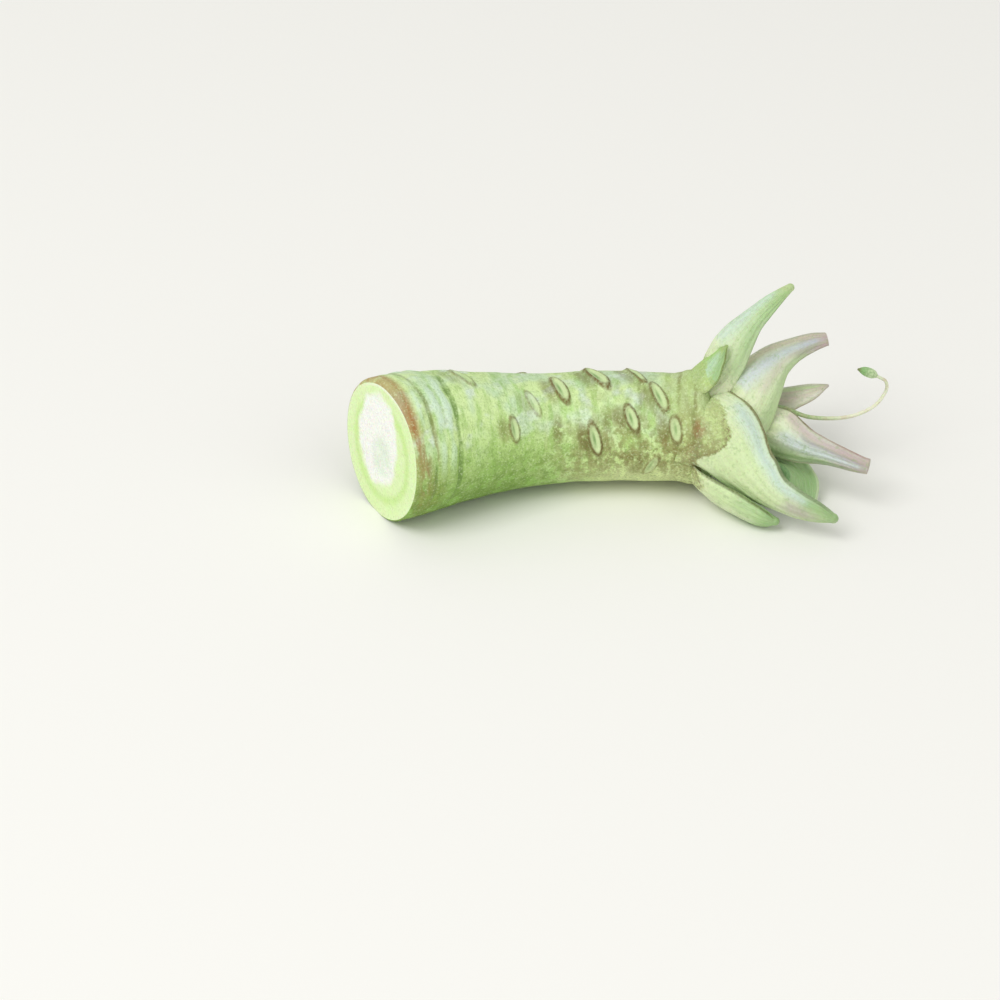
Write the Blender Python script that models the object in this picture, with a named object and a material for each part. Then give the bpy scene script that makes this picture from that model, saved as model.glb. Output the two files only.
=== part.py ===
"""Wasabi root: a rhizome cut across at one end, with the leaf stalks of its crown and one young leaf.

The root lies on its side along X, with its cut end at -X and its crown at +X, on the plane z = 0. The origin is
under the middle of its box. Sizes and places below are in millimetres, and to_metres() turns them to metres.

The rhizome is one solid that tapers and bends gently. Each leaf stalk is a solid of its own: a thin sheath that
wraps the crown where it grows out, and a rounded stalk further on. The stalks sit in one another as a crown's do,
so each later one is trimmed to leave room for the rhizome and for the stalks before it.
"""

import math

import bmesh
import bpy
import numpy as np
from mathutils import Vector

MM = 0.001
WELD = 0.000001

# The point of the design frame that becomes the origin.
ORIGIN = (0.0, 1.85, 0.0)

# The room that separate pieces leave between each other.
GAP = 0.3

# The rhizome's centre line and radius: x, y, z, radius. The underside near the cut end sags a little below the
# resting plane, and is pressed flat there.
RHIZOME_STATIONS = (
    (-72.0, -7.4, 17.0, 17.0),
    (-60.0, -3.2, 16.5, 16.8),
    (-51.0, 0.2, 16.4, 16.7),
    (-44.0, 2.9, 15.8, 16.1),
    (-37.5, 5.0, 15.1, 15.3),
    (-31.0, 6.7, 14.4, 14.4),
    (-22.0, 8.3, 13.7, 13.3),
    (-12.0, 8.9, 13.6, 12.9),
    (-3.0, 8.6, 13.8, 12.9),
    (6.0, 7.5, 13.8, 12.8),
    (14.0, 6.3, 13.8, 12.6),
    (19.0, 5.6, 13.8, 12.1),
    (23.0, 5.2, 13.9, 10.3),
    (27.0, 5.0, 14.0, 7.8),
    (31.0, 5.0, 14.0, 4.6),
    (33.5, 5.0, 14.0, 2.4),
)
RHIZOME_RINGS = 36
RHIZOME_BEVEL = 6

# The knife cut: a point on it and the way that it faces.
CUT_POINT = (-55.1, -2.1, 17.0)
CUT_FACING = (-0.900, -0.424, 0.098)
BOX_SIZE = 200.0

# The crown's axis runs along X at this y and z, and the stalks stand about it.
CROWN_Y = 5.0
CROWN_Z = 14.0

# Each stalk's rows run from its base to its tip. A row is the distance along the crown's axis, the distance out
# from that axis, the angle about it in degrees (0 towards -Y, 90 up), the angle that its back faces, its half
# width round the sheath, its thickness, and the radius that the sheath is bent to.
STALKS = {
    "leaf_stalk_front": (
        (17.0, 12.6, 44, 44, 11.8, 0.9, 12.8),
        (22.0, 14.0, 27, 27, 10.8, 2.4, 13.3),
        (26.4, 16.6, 3, 3, 8.0, 3.4, 11.0),
        (29.8, 19.2, -6.5, -6, 6.6, 4.2, 9.0),
        (33.4, 22.3, -11.5, -11.5, 5.0, 4.4, 7.0),
        (38.2, 25.6, -13.4, -13, 4.0, 4.2, 6.0),
        (42.8, 28.0, -14, -14, 2.9, 3.4, 6.0),
        (46.0, 29.6, -14.5, -14, 1.3, 2.2, 6.0),
    ),
    "leaf_stalk_top": (
        (18.9, 10.8, 92, 85, 6.0, 2.0, 11.0),
        (22.0, 13.6, 94, 75, 5.6, 3.4, 9.0),
        (24.6, 17.8, 95, 65, 5.2, 4.2, 8.0),
        (27.0, 22.0, 96, 58, 4.5, 4.0, 7.0),
        (31.0, 27.2, 96, 55, 2.9, 3.2, 7.0),
        (36.0, 32.5, 95, 55, 1.8, 2.4, 6.0),
        (39.2, 35.2, 95, 55, 1.0, 1.7, 6.0),
    ),
    "old_leaf_scale": (
        (16.4, 13.2, 86, 86, 4.2, 0.9, 12.6),
        (18.4, 14.6, 87, 84, 4.9, 1.6, 12.0),
        (21.2, 17.3, 88, 84, 4.5, 1.7, 10.5),
        (23.2, 20.2, 88, 85, 2.8, 1.4, 9.0),
        (24.5, 22.5, 88, 86, 0.5, 0.8, 8.0),
    ),
    "leaf_stalk_upper": (
        (21.5, 8.8, 58, 58, 11.5, 1.4, 8.8),
        (26.6, 10.0, 66, 62, 11.0, 2.6, 9.0),
        (31.2, 13.0, 84, 64, 8.2, 3.7, 8.0),
        (35.7, 15.2, 102, 62, 5.3, 3.9, 6.0),
        (38.7, 16.8, 106, 60, 3.9, 3.7, 6.0),
        (42.0, 18.1, 108, 60, 2.9, 3.3, 6.0),
        (45.8, 19.2, 110, 60, 2.3, 3.0, 6.0),
        (49.2, 19.8, 110, 60, 1.7, 2.6, 6.0),
    ),
    "leaf_stalk_inner_front": (
        (26.0, 4.2, 40, 40, 6.2, 2.2, 6.0),
        (33.1, 4.8, 20, 20, 6.6, 3.6, 6.5),
        (37.4, 6.0, 2, 6, 6.8, 4.4, 6.0),
        (41.5, 8.4, -4, 3, 5.2, 4.2, 6.0),
        (45.8, 10.9, -4, 1, 3.6, 3.8, 6.0),
        (50.1, 13.3, -5, -2, 2.7, 3.5, 6.0),
        (53.7, 15.3, -6.5, -5, 2.3, 3.2, 6.0),
        (56.0, 16.4, -7, -8, 2.1, 3.0, 6.0),
    ),
    "leaf_stub_inner_back": (
        (22.0, 8.8, 182, 182, 10.0, 1.4, 8.8),
        (28.0, 9.2, 174, 168, 9.0, 2.2, 8.5),
        (34.0, 8.4, 158, 130, 6.8, 2.8, 7.0),
        (39.0, 7.2, 140, 100, 5.4, 2.8, 5.5),
        (42.5, 7.3, 135, 95, 4.5, 2.8, 5.0),
        (46.2, 7.7, 130, 90, 2.9, 2.2, 5.0),
        (49.8, 8.6, 128, 85, 0.5, 0.8, 5.0),
    ),
    "leaf_stalk_lower_front": (
        (17.0, 12.4, -42, -44, 7.5, 1.6, 11.0),
        (21.5, 16.8, -35, -40, 7.2, 3.4, 10.0),
        (25.6, 20.6, -30, -38, 6.4, 4.0, 8.0),
        (28.6, 23.2, -27.5, -36, 5.0, 4.0, 7.0),
        (31.4, 25.0, -26, -36, 3.5, 3.4, 6.0),
        (33.6, 25.9, -25.2, -36, 1.3, 2.0, 6.0),
    ),
    "leaf_stalk_lower": (
        (20.5, 10.2, -88, -88, 9.0, 1.4, 10.0),
        (27.0, 10.0, -80, -85, 8.0, 2.6, 9.0),
        (33.0, 9.6, -66, -78, 7.0, 3.4, 8.0),
        (38.0, 10.6, -52, -70, 7.0, 3.8, 7.0),
        (40.8, 14.0, -46, -65, 5.7, 3.8, 6.0),
        (41.8, 18.2, -41, -65, 3.8, 3.2, 6.0),
        (42.1, 21.2, -37, -65, 1.4, 2.0, 6.0),
    ),
    "leaf_stalk_lower_back": (
        (18.5, 12.2, -150, -150, 8.0, 1.6, 11.0),
        (24.0, 15.0, -151, -150, 7.4, 3.4, 10.0),
        (29.5, 19.0, -151.5, -145, 5.6, 4.2, 8.0),
        (35.0, 22.4, -152, -140, 3.9, 4.0, 6.5),
        (40.0, 24.6, -152, -138, 2.6, 3.2, 6.0),
        (43.0, 25.4, -152, -138, 1.2, 2.0, 6.0),
    ),
    "leaf_stalk_back": (
        (18.5, 12.2, 152, 152, 9.0, 1.6, 11.0),
        (24.0, 13.6, 155, 155, 7.0, 3.2, 10.0),
        (29.5, 15.0, 160, 160, 5.2, 4.0, 8.0),
        (34.0, 15.6, 165, 165, 3.8, 3.8, 6.5),
        (38.0, 15.6, 170, 170, 2.8, 3.2, 6.0),
        (40.5, 15.4, 174, 174, 2.2, 2.8, 6.0),
    ),
}
STALK_RINGS = 14
STALK_SIDES = 18

# The young leaf: its stalk's course, as distance along the crown's axis, distance out and angle about it, and the
# rows of its bud, the folded blade at the stalk's end.
YOUNG_STALK_ROUTE = (
    (30.0, 5.0, 100),
    (38.1, 4.4, 100),
    (45.2, 2.1, 75),
    (52.8, 2.1, 60),
    (59.0, 4.9, 68),
    (62.2, 9.0, 79),
    (62.0, 12.0, 80),
    (60.4, 13.3, 80),
)
YOUNG_STALK_RADIUS = 0.5
YOUNG_STALK_POINTS = 24
YOUNG_STALK_BEVEL = 1
BUD_ROWS = (
    (59.6, 13.9, 80, 10, 0.5, 0.6, 6.0),
    (58.7, 14.5, 80, 10, 1.05, 1.5, 6.0),
    (57.5, 15.2, 80, 10, 1.15, 1.8, 6.0),
    (56.3, 15.8, 80, 10, 0.9, 1.4, 6.0),
    (55.2, 16.2, 80, 10, 0.3, 0.5, 6.0),
)
BUD_RINGS = 8
BUD_SIDES = 10

# The finishes: colour, roughness.
SKIN = ("rhizome_skin", (0.42, 0.55, 0.19), 0.6)
STALK_SKIN = ("leaf_stalk_skin", (0.62, 0.76, 0.42), 0.45)
PURPLE_STALK_SKIN = ("purple_stalk_skin", (0.60, 0.60, 0.52), 0.45)
OLD_SCALE = ("old_scale", (0.48, 0.66, 0.28), 0.5)
YOUNG_STALK = ("young_stalk", (0.72, 0.78, 0.50), 0.4)
YOUNG_BLADE = ("young_blade", (0.42, 0.62, 0.33), 0.4)
PURPLE_STALKS = ("leaf_stalk_upper", "leaf_stalk_inner_front", "leaf_stub_inner_back")


def through(rows, count):
    """count rows on a smooth curve that passes through the given rows."""
    rows = np.array(rows, float)
    padded = np.vstack([2 * rows[0] - rows[1], rows, 2 * rows[-1] - rows[-2]])
    found = []
    for at in np.linspace(0, len(rows) - 1, count):
        i = min(int(at), len(rows) - 2)
        t = at - i
        before, start, end, after = padded[i : i + 4]
        bend = 2 * before - 5 * start + 4 * end - after
        swing = 3 * start - before - 3 * end + after
        found.append(start + 0.5 * ((end - before) * t + bend * t**2 + swing * t**3))
    return np.array(found)


def to_metres(points):
    return (np.array(points, float) - ORIGIN) * MM


def crown_point(along, out, angle):
    turned = math.radians(angle)
    return np.array([along, CROWN_Y - out * math.cos(turned), CROWN_Z + out * math.sin(turned)])


def section(half_width, thickness, bend, sides):
    """A flat ellipse bent round an arc, as distances sideways and outwards."""
    turn = np.linspace(0, 2 * math.pi, sides, endpoint=False)
    radius = bend + 0.5 * thickness * np.sin(turn)
    around = half_width * np.cos(turn) / bend
    return radius * np.sin(around), radius * np.cos(around) - bend


def stalk_mesh(name, rows, rings=STALK_RINGS, sides=STALK_SIDES, grow=0.0):
    """A loft through a stalk's rows, larger by grow all round."""
    rows = through(rows, rings)
    spine = np.array([crown_point(*row[:3]) for row in rows])
    ahead = np.gradient(spine, axis=0)
    ahead /= np.linalg.norm(ahead, axis=1)[:, None]
    spine[0] -= ahead[0] * grow
    spine[-1] += ahead[-1] * grow
    work = bmesh.new()
    loft = []
    for centre, along, row in zip(spine, ahead, rows):
        facing, half_width, thickness, bend = row[3:]
        outward = crown_point(0, 1, facing) - crown_point(0, 0, 0)
        outward -= along * (outward @ along)
        outward /= np.linalg.norm(outward)
        sideways, out = section(half_width + grow, thickness + 2 * grow, bend, sides)
        points = centre + np.outer(sideways, np.cross(along, outward)) + np.outer(out, outward)
        loft.append([work.verts.new(point) for point in to_metres(points)])
    for ring, following in zip(loft, loft[1:]):
        for k in range(sides):
            work.faces.new((ring[k], ring[k - 1], following[k - 1], following[k]))
    ends = [work.faces.new(loft[0]), work.faces.new(loft[-1][::-1])]
    bmesh.ops.triangulate(work, faces=ends)
    bmesh.ops.recalc_face_normals(work, faces=work.faces)
    mesh = bpy.data.meshes.new(name)
    work.to_mesh(mesh)
    work.free()
    mesh.shade_smooth()
    return mesh


def tube_mesh(name, centres, radii, bevel_resolution):
    """A round solid along centres, from a bevelled curve whose caps are welded on."""
    curve = bpy.data.curves.new(name, "CURVE")
    curve.dimensions = "3D"
    curve.bevel_depth = MM
    curve.bevel_resolution = bevel_resolution
    curve.use_fill_caps = True
    spline = curve.splines.new("POLY")
    spline.points.add(len(centres) - 1)
    for point, centre, radius in zip(spline.points, to_metres(centres), radii):
        point.co = (*centre, 1.0)
        point.radius = radius
    holder = bpy.data.objects.new(name, curve)
    bpy.context.scene.collection.objects.link(holder)
    bpy.context.view_layer.update()
    mesh = bpy.data.meshes.new_from_object(holder.evaluated_get(bpy.context.evaluated_depsgraph_get()))
    bpy.data.objects.remove(holder)
    bpy.data.curves.remove(curve)
    work = bmesh.new()
    work.from_mesh(mesh)
    bmesh.ops.remove_doubles(work, verts=work.verts, dist=WELD)
    bmesh.ops.recalc_face_normals(work, faces=work.faces)
    work.to_mesh(mesh)
    work.free()
    mesh.shade_smooth()
    return mesh


def rhizome_mesh(name, grow=0.0):
    rows = through(RHIZOME_STATIONS, RHIZOME_RINGS)
    return tube_mesh(name, rows[:, :3], rows[:, 3] + grow, RHIZOME_BEVEL)


def young_stalk_mesh(name):
    centres = [crown_point(*row) for row in through(YOUNG_STALK_ROUTE, YOUNG_STALK_POINTS)]
    return tube_mesh(name, centres, [YOUNG_STALK_RADIUS] * len(centres), YOUNG_STALK_BEVEL)


def finish(colours):
    """The material of this name, made the first time that it is asked for."""
    name, colour, roughness = colours
    if name in bpy.data.materials:
        return bpy.data.materials[name]
    material = bpy.data.materials.new(name)
    material.use_nodes = True
    shader = material.node_tree.nodes["Principled BSDF"]
    shader.inputs["Base Color"].default_value = (*colour, 1.0)
    shader.inputs["Roughness"].default_value = roughness
    shader.inputs["Metallic"].default_value = 0.0
    return material


def add_piece(collection, name, mesh, colours):
    mesh.materials.clear()
    mesh.materials.append(finish(colours))
    piece = bpy.data.objects.new(name, mesh)
    collection.objects.link(piece)
    return piece


def add_cutter(collection, name, mesh):
    cutter = bpy.data.objects.new(name, mesh)
    cutter.hide_render = True
    cutter.display_type = "WIRE"
    collection.objects.link(cutter)
    return cutter


def cutting_box(collection, name, face_point, facing):
    """A cube that takes away all that lies past face_point, the way that facing points."""
    work = bmesh.new()
    bmesh.ops.create_cube(work, size=BOX_SIZE * MM)
    mesh = bpy.data.meshes.new(name)
    work.to_mesh(mesh)
    work.free()
    box = add_cutter(collection, name, mesh)
    facing = Vector(facing).normalized()
    box.rotation_euler = facing.to_track_quat("Z", "Y").to_euler()
    box.location = Vector(to_metres(face_point)) + facing * BOX_SIZE * MM / 2
    return box


def near(one, other):
    """Whether the boxes round two pieces meet."""
    lows, highs = [], []
    for piece in (one, other):
        corners = np.array([corner[:] for corner in piece.bound_box])
        lows.append(corners.min(axis=0))
        highs.append(corners.max(axis=0))
    return bool(np.all(lows[0] < highs[1]) and np.all(lows[1] < highs[0]))


def cut(piece, cutter):
    modifier = piece.modifiers.new(cutter.name, "BOOLEAN")
    modifier.operation = "DIFFERENCE"
    modifier.object = cutter


def main():
    for old in list(bpy.data.objects):
        bpy.data.objects.remove(old)
    parts = bpy.data.collections.new("wasabi_root")
    cutters = bpy.data.collections.new("cutters")
    for collection in (parts, cutters):
        bpy.context.scene.collection.children.link(collection)

    resting_plane = cutting_box(cutters, "below_resting_plane", (0, 0, 0), (0, 0, -1))
    knife = cutting_box(cutters, "past_knife_cut", CUT_POINT, CUT_FACING)
    rhizome = add_piece(parts, "rhizome", rhizome_mesh("rhizome"), SKIN)
    cut(rhizome, knife)
    cut(rhizome, resting_plane)

    rooms = [add_cutter(cutters, "rhizome_room", rhizome_mesh("rhizome_room", GAP))]
    for name, rows in STALKS.items():
        colours = PURPLE_STALK_SKIN if name in PURPLE_STALKS else STALK_SKIN
        colours = OLD_SCALE if name == "old_leaf_scale" else colours
        stalk = add_piece(parts, name, stalk_mesh(name, rows), colours)
        for room in rooms:
            if near(stalk, room):
                cut(stalk, room)
        cut(stalk, resting_plane)
        rooms.append(add_cutter(cutters, name + "_room", stalk_mesh(name + "_room", rows, grow=GAP)))

    young_stalk = add_piece(parts, "young_leaf_stalk", young_stalk_mesh("young_leaf_stalk"), YOUNG_STALK)
    for room in rooms:
        if near(young_stalk, room):
            cut(young_stalk, room)
    bud = stalk_mesh("young_leaf_bud", BUD_ROWS, BUD_RINGS, BUD_SIDES)
    add_piece(parts, "young_leaf_bud", bud, YOUNG_BLADE)


main()
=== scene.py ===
"""Looks of the wasabi root: the rhizome's skin and cut end, the leaf stalks of its crown, and its young leaf.

Every piece stands for the CAD node of the same place, and follows the same centre lines and rows in finer
steps. Sizes in the tables are in millimetres and angles in degrees, and to_metres() turns sizes to metres.
"""

import math
from functools import partial

import bpy
import numpy as np
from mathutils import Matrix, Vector


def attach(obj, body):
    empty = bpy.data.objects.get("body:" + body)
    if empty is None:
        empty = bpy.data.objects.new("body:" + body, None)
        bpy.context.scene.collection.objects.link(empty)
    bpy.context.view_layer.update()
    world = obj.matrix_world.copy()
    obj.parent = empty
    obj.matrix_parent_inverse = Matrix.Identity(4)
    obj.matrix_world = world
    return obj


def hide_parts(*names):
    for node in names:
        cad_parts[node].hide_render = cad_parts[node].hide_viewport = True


bl_info = {
    "name": "Wasabi Root",
    "version": (1, 0, 0),
    "blender": (4, 5, 0),
    "location": "3D View > Sidebar > Wasabi",
    "description": "Builds a fresh wasabi root with its leaf stalks around a fixed frame",
    "category": "Add Mesh",
}

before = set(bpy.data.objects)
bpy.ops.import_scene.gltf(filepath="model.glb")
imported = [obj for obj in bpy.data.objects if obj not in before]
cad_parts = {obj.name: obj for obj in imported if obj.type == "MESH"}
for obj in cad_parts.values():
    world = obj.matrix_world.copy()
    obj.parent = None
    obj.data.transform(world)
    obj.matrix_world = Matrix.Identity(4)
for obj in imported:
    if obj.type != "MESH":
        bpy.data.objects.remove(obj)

MM = 0.001

# The point of the tables' frame that becomes the origin.
ORIGIN = (0.0, 1.85, 0.0)

# The rhizome's centre line and radius: x, y, z, radius.
RHIZOME_STATIONS = (
    (-72.0, -7.4, 17.0, 17.0),
    (-60.0, -3.2, 16.5, 16.8),
    (-51.0, 0.2, 16.4, 16.7),
    (-44.0, 2.9, 15.8, 16.1),
    (-37.5, 5.0, 15.1, 15.3),
    (-31.0, 6.7, 14.4, 14.4),
    (-22.0, 8.3, 13.7, 13.3),
    (-12.0, 8.9, 13.6, 12.9),
    (-3.0, 8.6, 13.8, 12.9),
    (6.0, 7.5, 13.8, 12.8),
    (14.0, 6.3, 13.8, 12.6),
    (19.0, 5.6, 13.8, 12.1),
    (23.0, 5.2, 13.9, 10.3),
    (27.0, 5.0, 14.0, 7.8),
    (31.0, 5.0, 14.0, 4.6),
    (33.5, 5.0, 14.0, 2.4),
)
CENTRE_LINE_STEPS = 600

# The rhizome's mesh: its sides, its rings along the skin, where the shoulder begins as a share of the skin's
# length, and the rings over that shoulder, round the cut's rim and across its face.
RHIZOME_SIDES = 280
SKIN_RINGS = 290
SHOULDER_FROM = 0.93
SHOULDER_RINGS = 14
RIM_RINGS = 5
FACE_RINGS = 24
FACE_RING_SPACING = 1.3

# The rounding of the cut's rim, and what is added to it about this angle: fully, and out to where it ends.
RIM_ROUNDING = 0.35
TOP_ROUNDING = 0.75
TOP_ANGLE = 100
TOP_REACH = (10, 65)
RIM_FADE = 6.0

# The knife cut: the point in its middle, the way that it faces, and its radius.
CUT_POINT = (-55.1, -2.1, 17.0)
CUT_FACING = (-0.900, -0.424, 0.098)
CUT_RADIUS = 17.0

# The crown's axis runs along X at this y and z. Angles about it are 0 towards -Y and 90 up.
CROWN_Y = 5.0
CROWN_Z = 14.0

# Where the skin thickens towards the stalks' bases: where that begins and is full, how much it is, and its
# middle angle and reach to each side. It fades out inside the crown, between two places along.
SWELLINGS = (
    (13.5, 18.5, 0.8, 0, 360),
    (11.5, 17.0, 2.1, 84, 42),
    (10.0, 17.0, 2.2, 38, 52),
    (11.0, 17.5, 2.3, 62, 26),
)
SWELLING_FADE = (19.0, 23.0)

# Where the brown skin ends over the stalks' bases: angle about the axis and distance along it. The edge has
# small lobes of this depth, and this many of them all round.
NECK_EDGE = (
    (-150, 19.6), (-110, 18.6), (-75, 18.0), (-41, 17.2), (-25, 17.5),
    (-14, 17.2), (-8, 15.9), (5, 17.3), (12, 20.6), (17, 22.6),
    (26, 23.7), (35, 23.9), (51, 23.0), (62, 21.8), (72, 20.6),
    (80, 19.8), (93, 19.4), (120, 20.2), (150, 21.5), (178, 20.6),
)
NECK_LOBE = 0.5
NECK_LOBES = 9

# Ring ridges and grooves that go round the rhizome behind the cut: distance from the cut, height, half width.
CUT_RINGS = (
    (2.9, 0.14, 1.1),
    (4.8, -0.24, 0.8),
    (6.6, 0.26, 1.4),
    (9.3, 0.28, 1.7),
    (11.6, -0.36, 1.1),
    (16.5, 0.12, 2.6),
)

# The same at the neck: distance along the rhizome, height, half width.
NECK_RINGS = (
    (5.4, -0.10, 1.2),
    (14.9, -0.12, 1.1),
    (18.6, -0.16, 0.9),
)

# Leaf scars: distance along, angle about the centre line, half width along, half length round, how far the
# scar leans along the rhizome for each millimetre round it, and how strong it is.
LEAF_SCARS = (
    (-37.5, 94, 1.5, 3.8, 0.30, 0.6),
    (-28.0, 34, 1.3, 2.9, 0.10, 0.8),
    (-21.4, 60, 1.4, 3.1, 0.40, 0.5),
    (-13.6, 77, 1.6, 4.1, 0.28, 1.0),
    (-4.4, 94, 1.7, 4.3, 0.45, 1.0),
    (4.2, 101, 1.2, 4.0, 0.50, 0.9),
    (-5.6, 19, 1.45, 3.7, 0.22, 1.0),
    (3.5, 40.5, 1.4, 3.0, 0.34, 1.0),
    (9.8, 65, 1.5, 3.8, 0.44, 0.9),
    (13.8, 30.5, 1.2, 2.75, 0.16, 0.8),
    (8.4, -12, 1.3, 3.0, -0.45, 0.6),
    (-30.0, 152, 1.5, 3.8, 0.10, 0.7),
    (-21.0, 150, 1.6, 3.9, 0.25, 0.9),
    (-33.0, 200, 1.5, 3.7, -0.15, 0.7),
    (-24.5, 188, 1.6, 4.0, 0.05, 0.9),
    (-12.5, 160, 1.6, 4.0, 0.20, 1.0),
    (-14.5, 214, 1.5, 3.9, -0.20, 0.9),
    (-3.8, 172, 1.6, 4.1, 0.10, 1.0),
    (5.0, 155, 1.6, 3.9, 0.25, 0.9),
    (13.4, 160, 1.4, 3.6, 0.30, 0.8),
    (-22.0, 244, 1.5, 3.7, -0.10, 0.8),
    (-4.5, 229, 1.6, 4.0, -0.25, 1.0),
    (5.2, 203, 1.6, 3.9, 0.05, 0.9),
    (13.0, 205, 1.3, 3.5, 0.15, 0.8),
    (4.5, 256, 1.5, 3.9, -0.15, 0.8),
    (12.6, 244, 1.3, 3.4, 0.10, 0.7),
)

# How far the brown patch beside a leaf scar lies from it, towards the cut. The patch is partly brown skin and
# partly painted shade.
SMUDGE_AND_SHADE_OFFSET = 2.7

# Stains of the skin: middle, reach in each direction, and how brown, how rusty and how clear they are.
STAINS = (
    ((-14.8, -3.0, 18.4), (2.0, 4.5, 6.0), 0.9, 0.0, 0.0),
    ((-9.9, -3.4, 18.0), (1.5, 2.4, 2.2), 1.0, 0.0, 0.0),
    ((-3.6, -2.2, 20.6), (2.6, 3.4, 2.8), 0.9, 0.0, 0.0),
    ((-2.0, -2.4, 20.0), (1.4, 1.6, 1.4), 0.0, 0.9, 0.0),
    ((9.8, -5.8, 17.4), (3.2, 3.0, 3.0), 1.0, 0.4, 0.0),
    ((4.2, -5.2, 14.0), (1.4, 3.0, 4.4), 0.7, 0.0, 0.0),
    ((17.4, -7.0, 20.0), (2.8, 3.4, 4.4), 0.5, 1.0, 0.0),
    ((15.2, -8.0, 16.0), (2.2, 3.0, 3.6), 0.8, 0.6, 0.0),
    ((1.8, -4.7, 16.4), (2.6, 3.0, 3.2), 0.0, 0.0, 1.0),
    ((6.7, -3.7, 20.3), (1.4, 2.6, 4.0), 0.0, 0.0, 0.8),
    ((-12.4, -0.7, 22.2), (2.6, 3.0, 3.0), 0.0, 0.0, 0.7),
)

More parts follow.
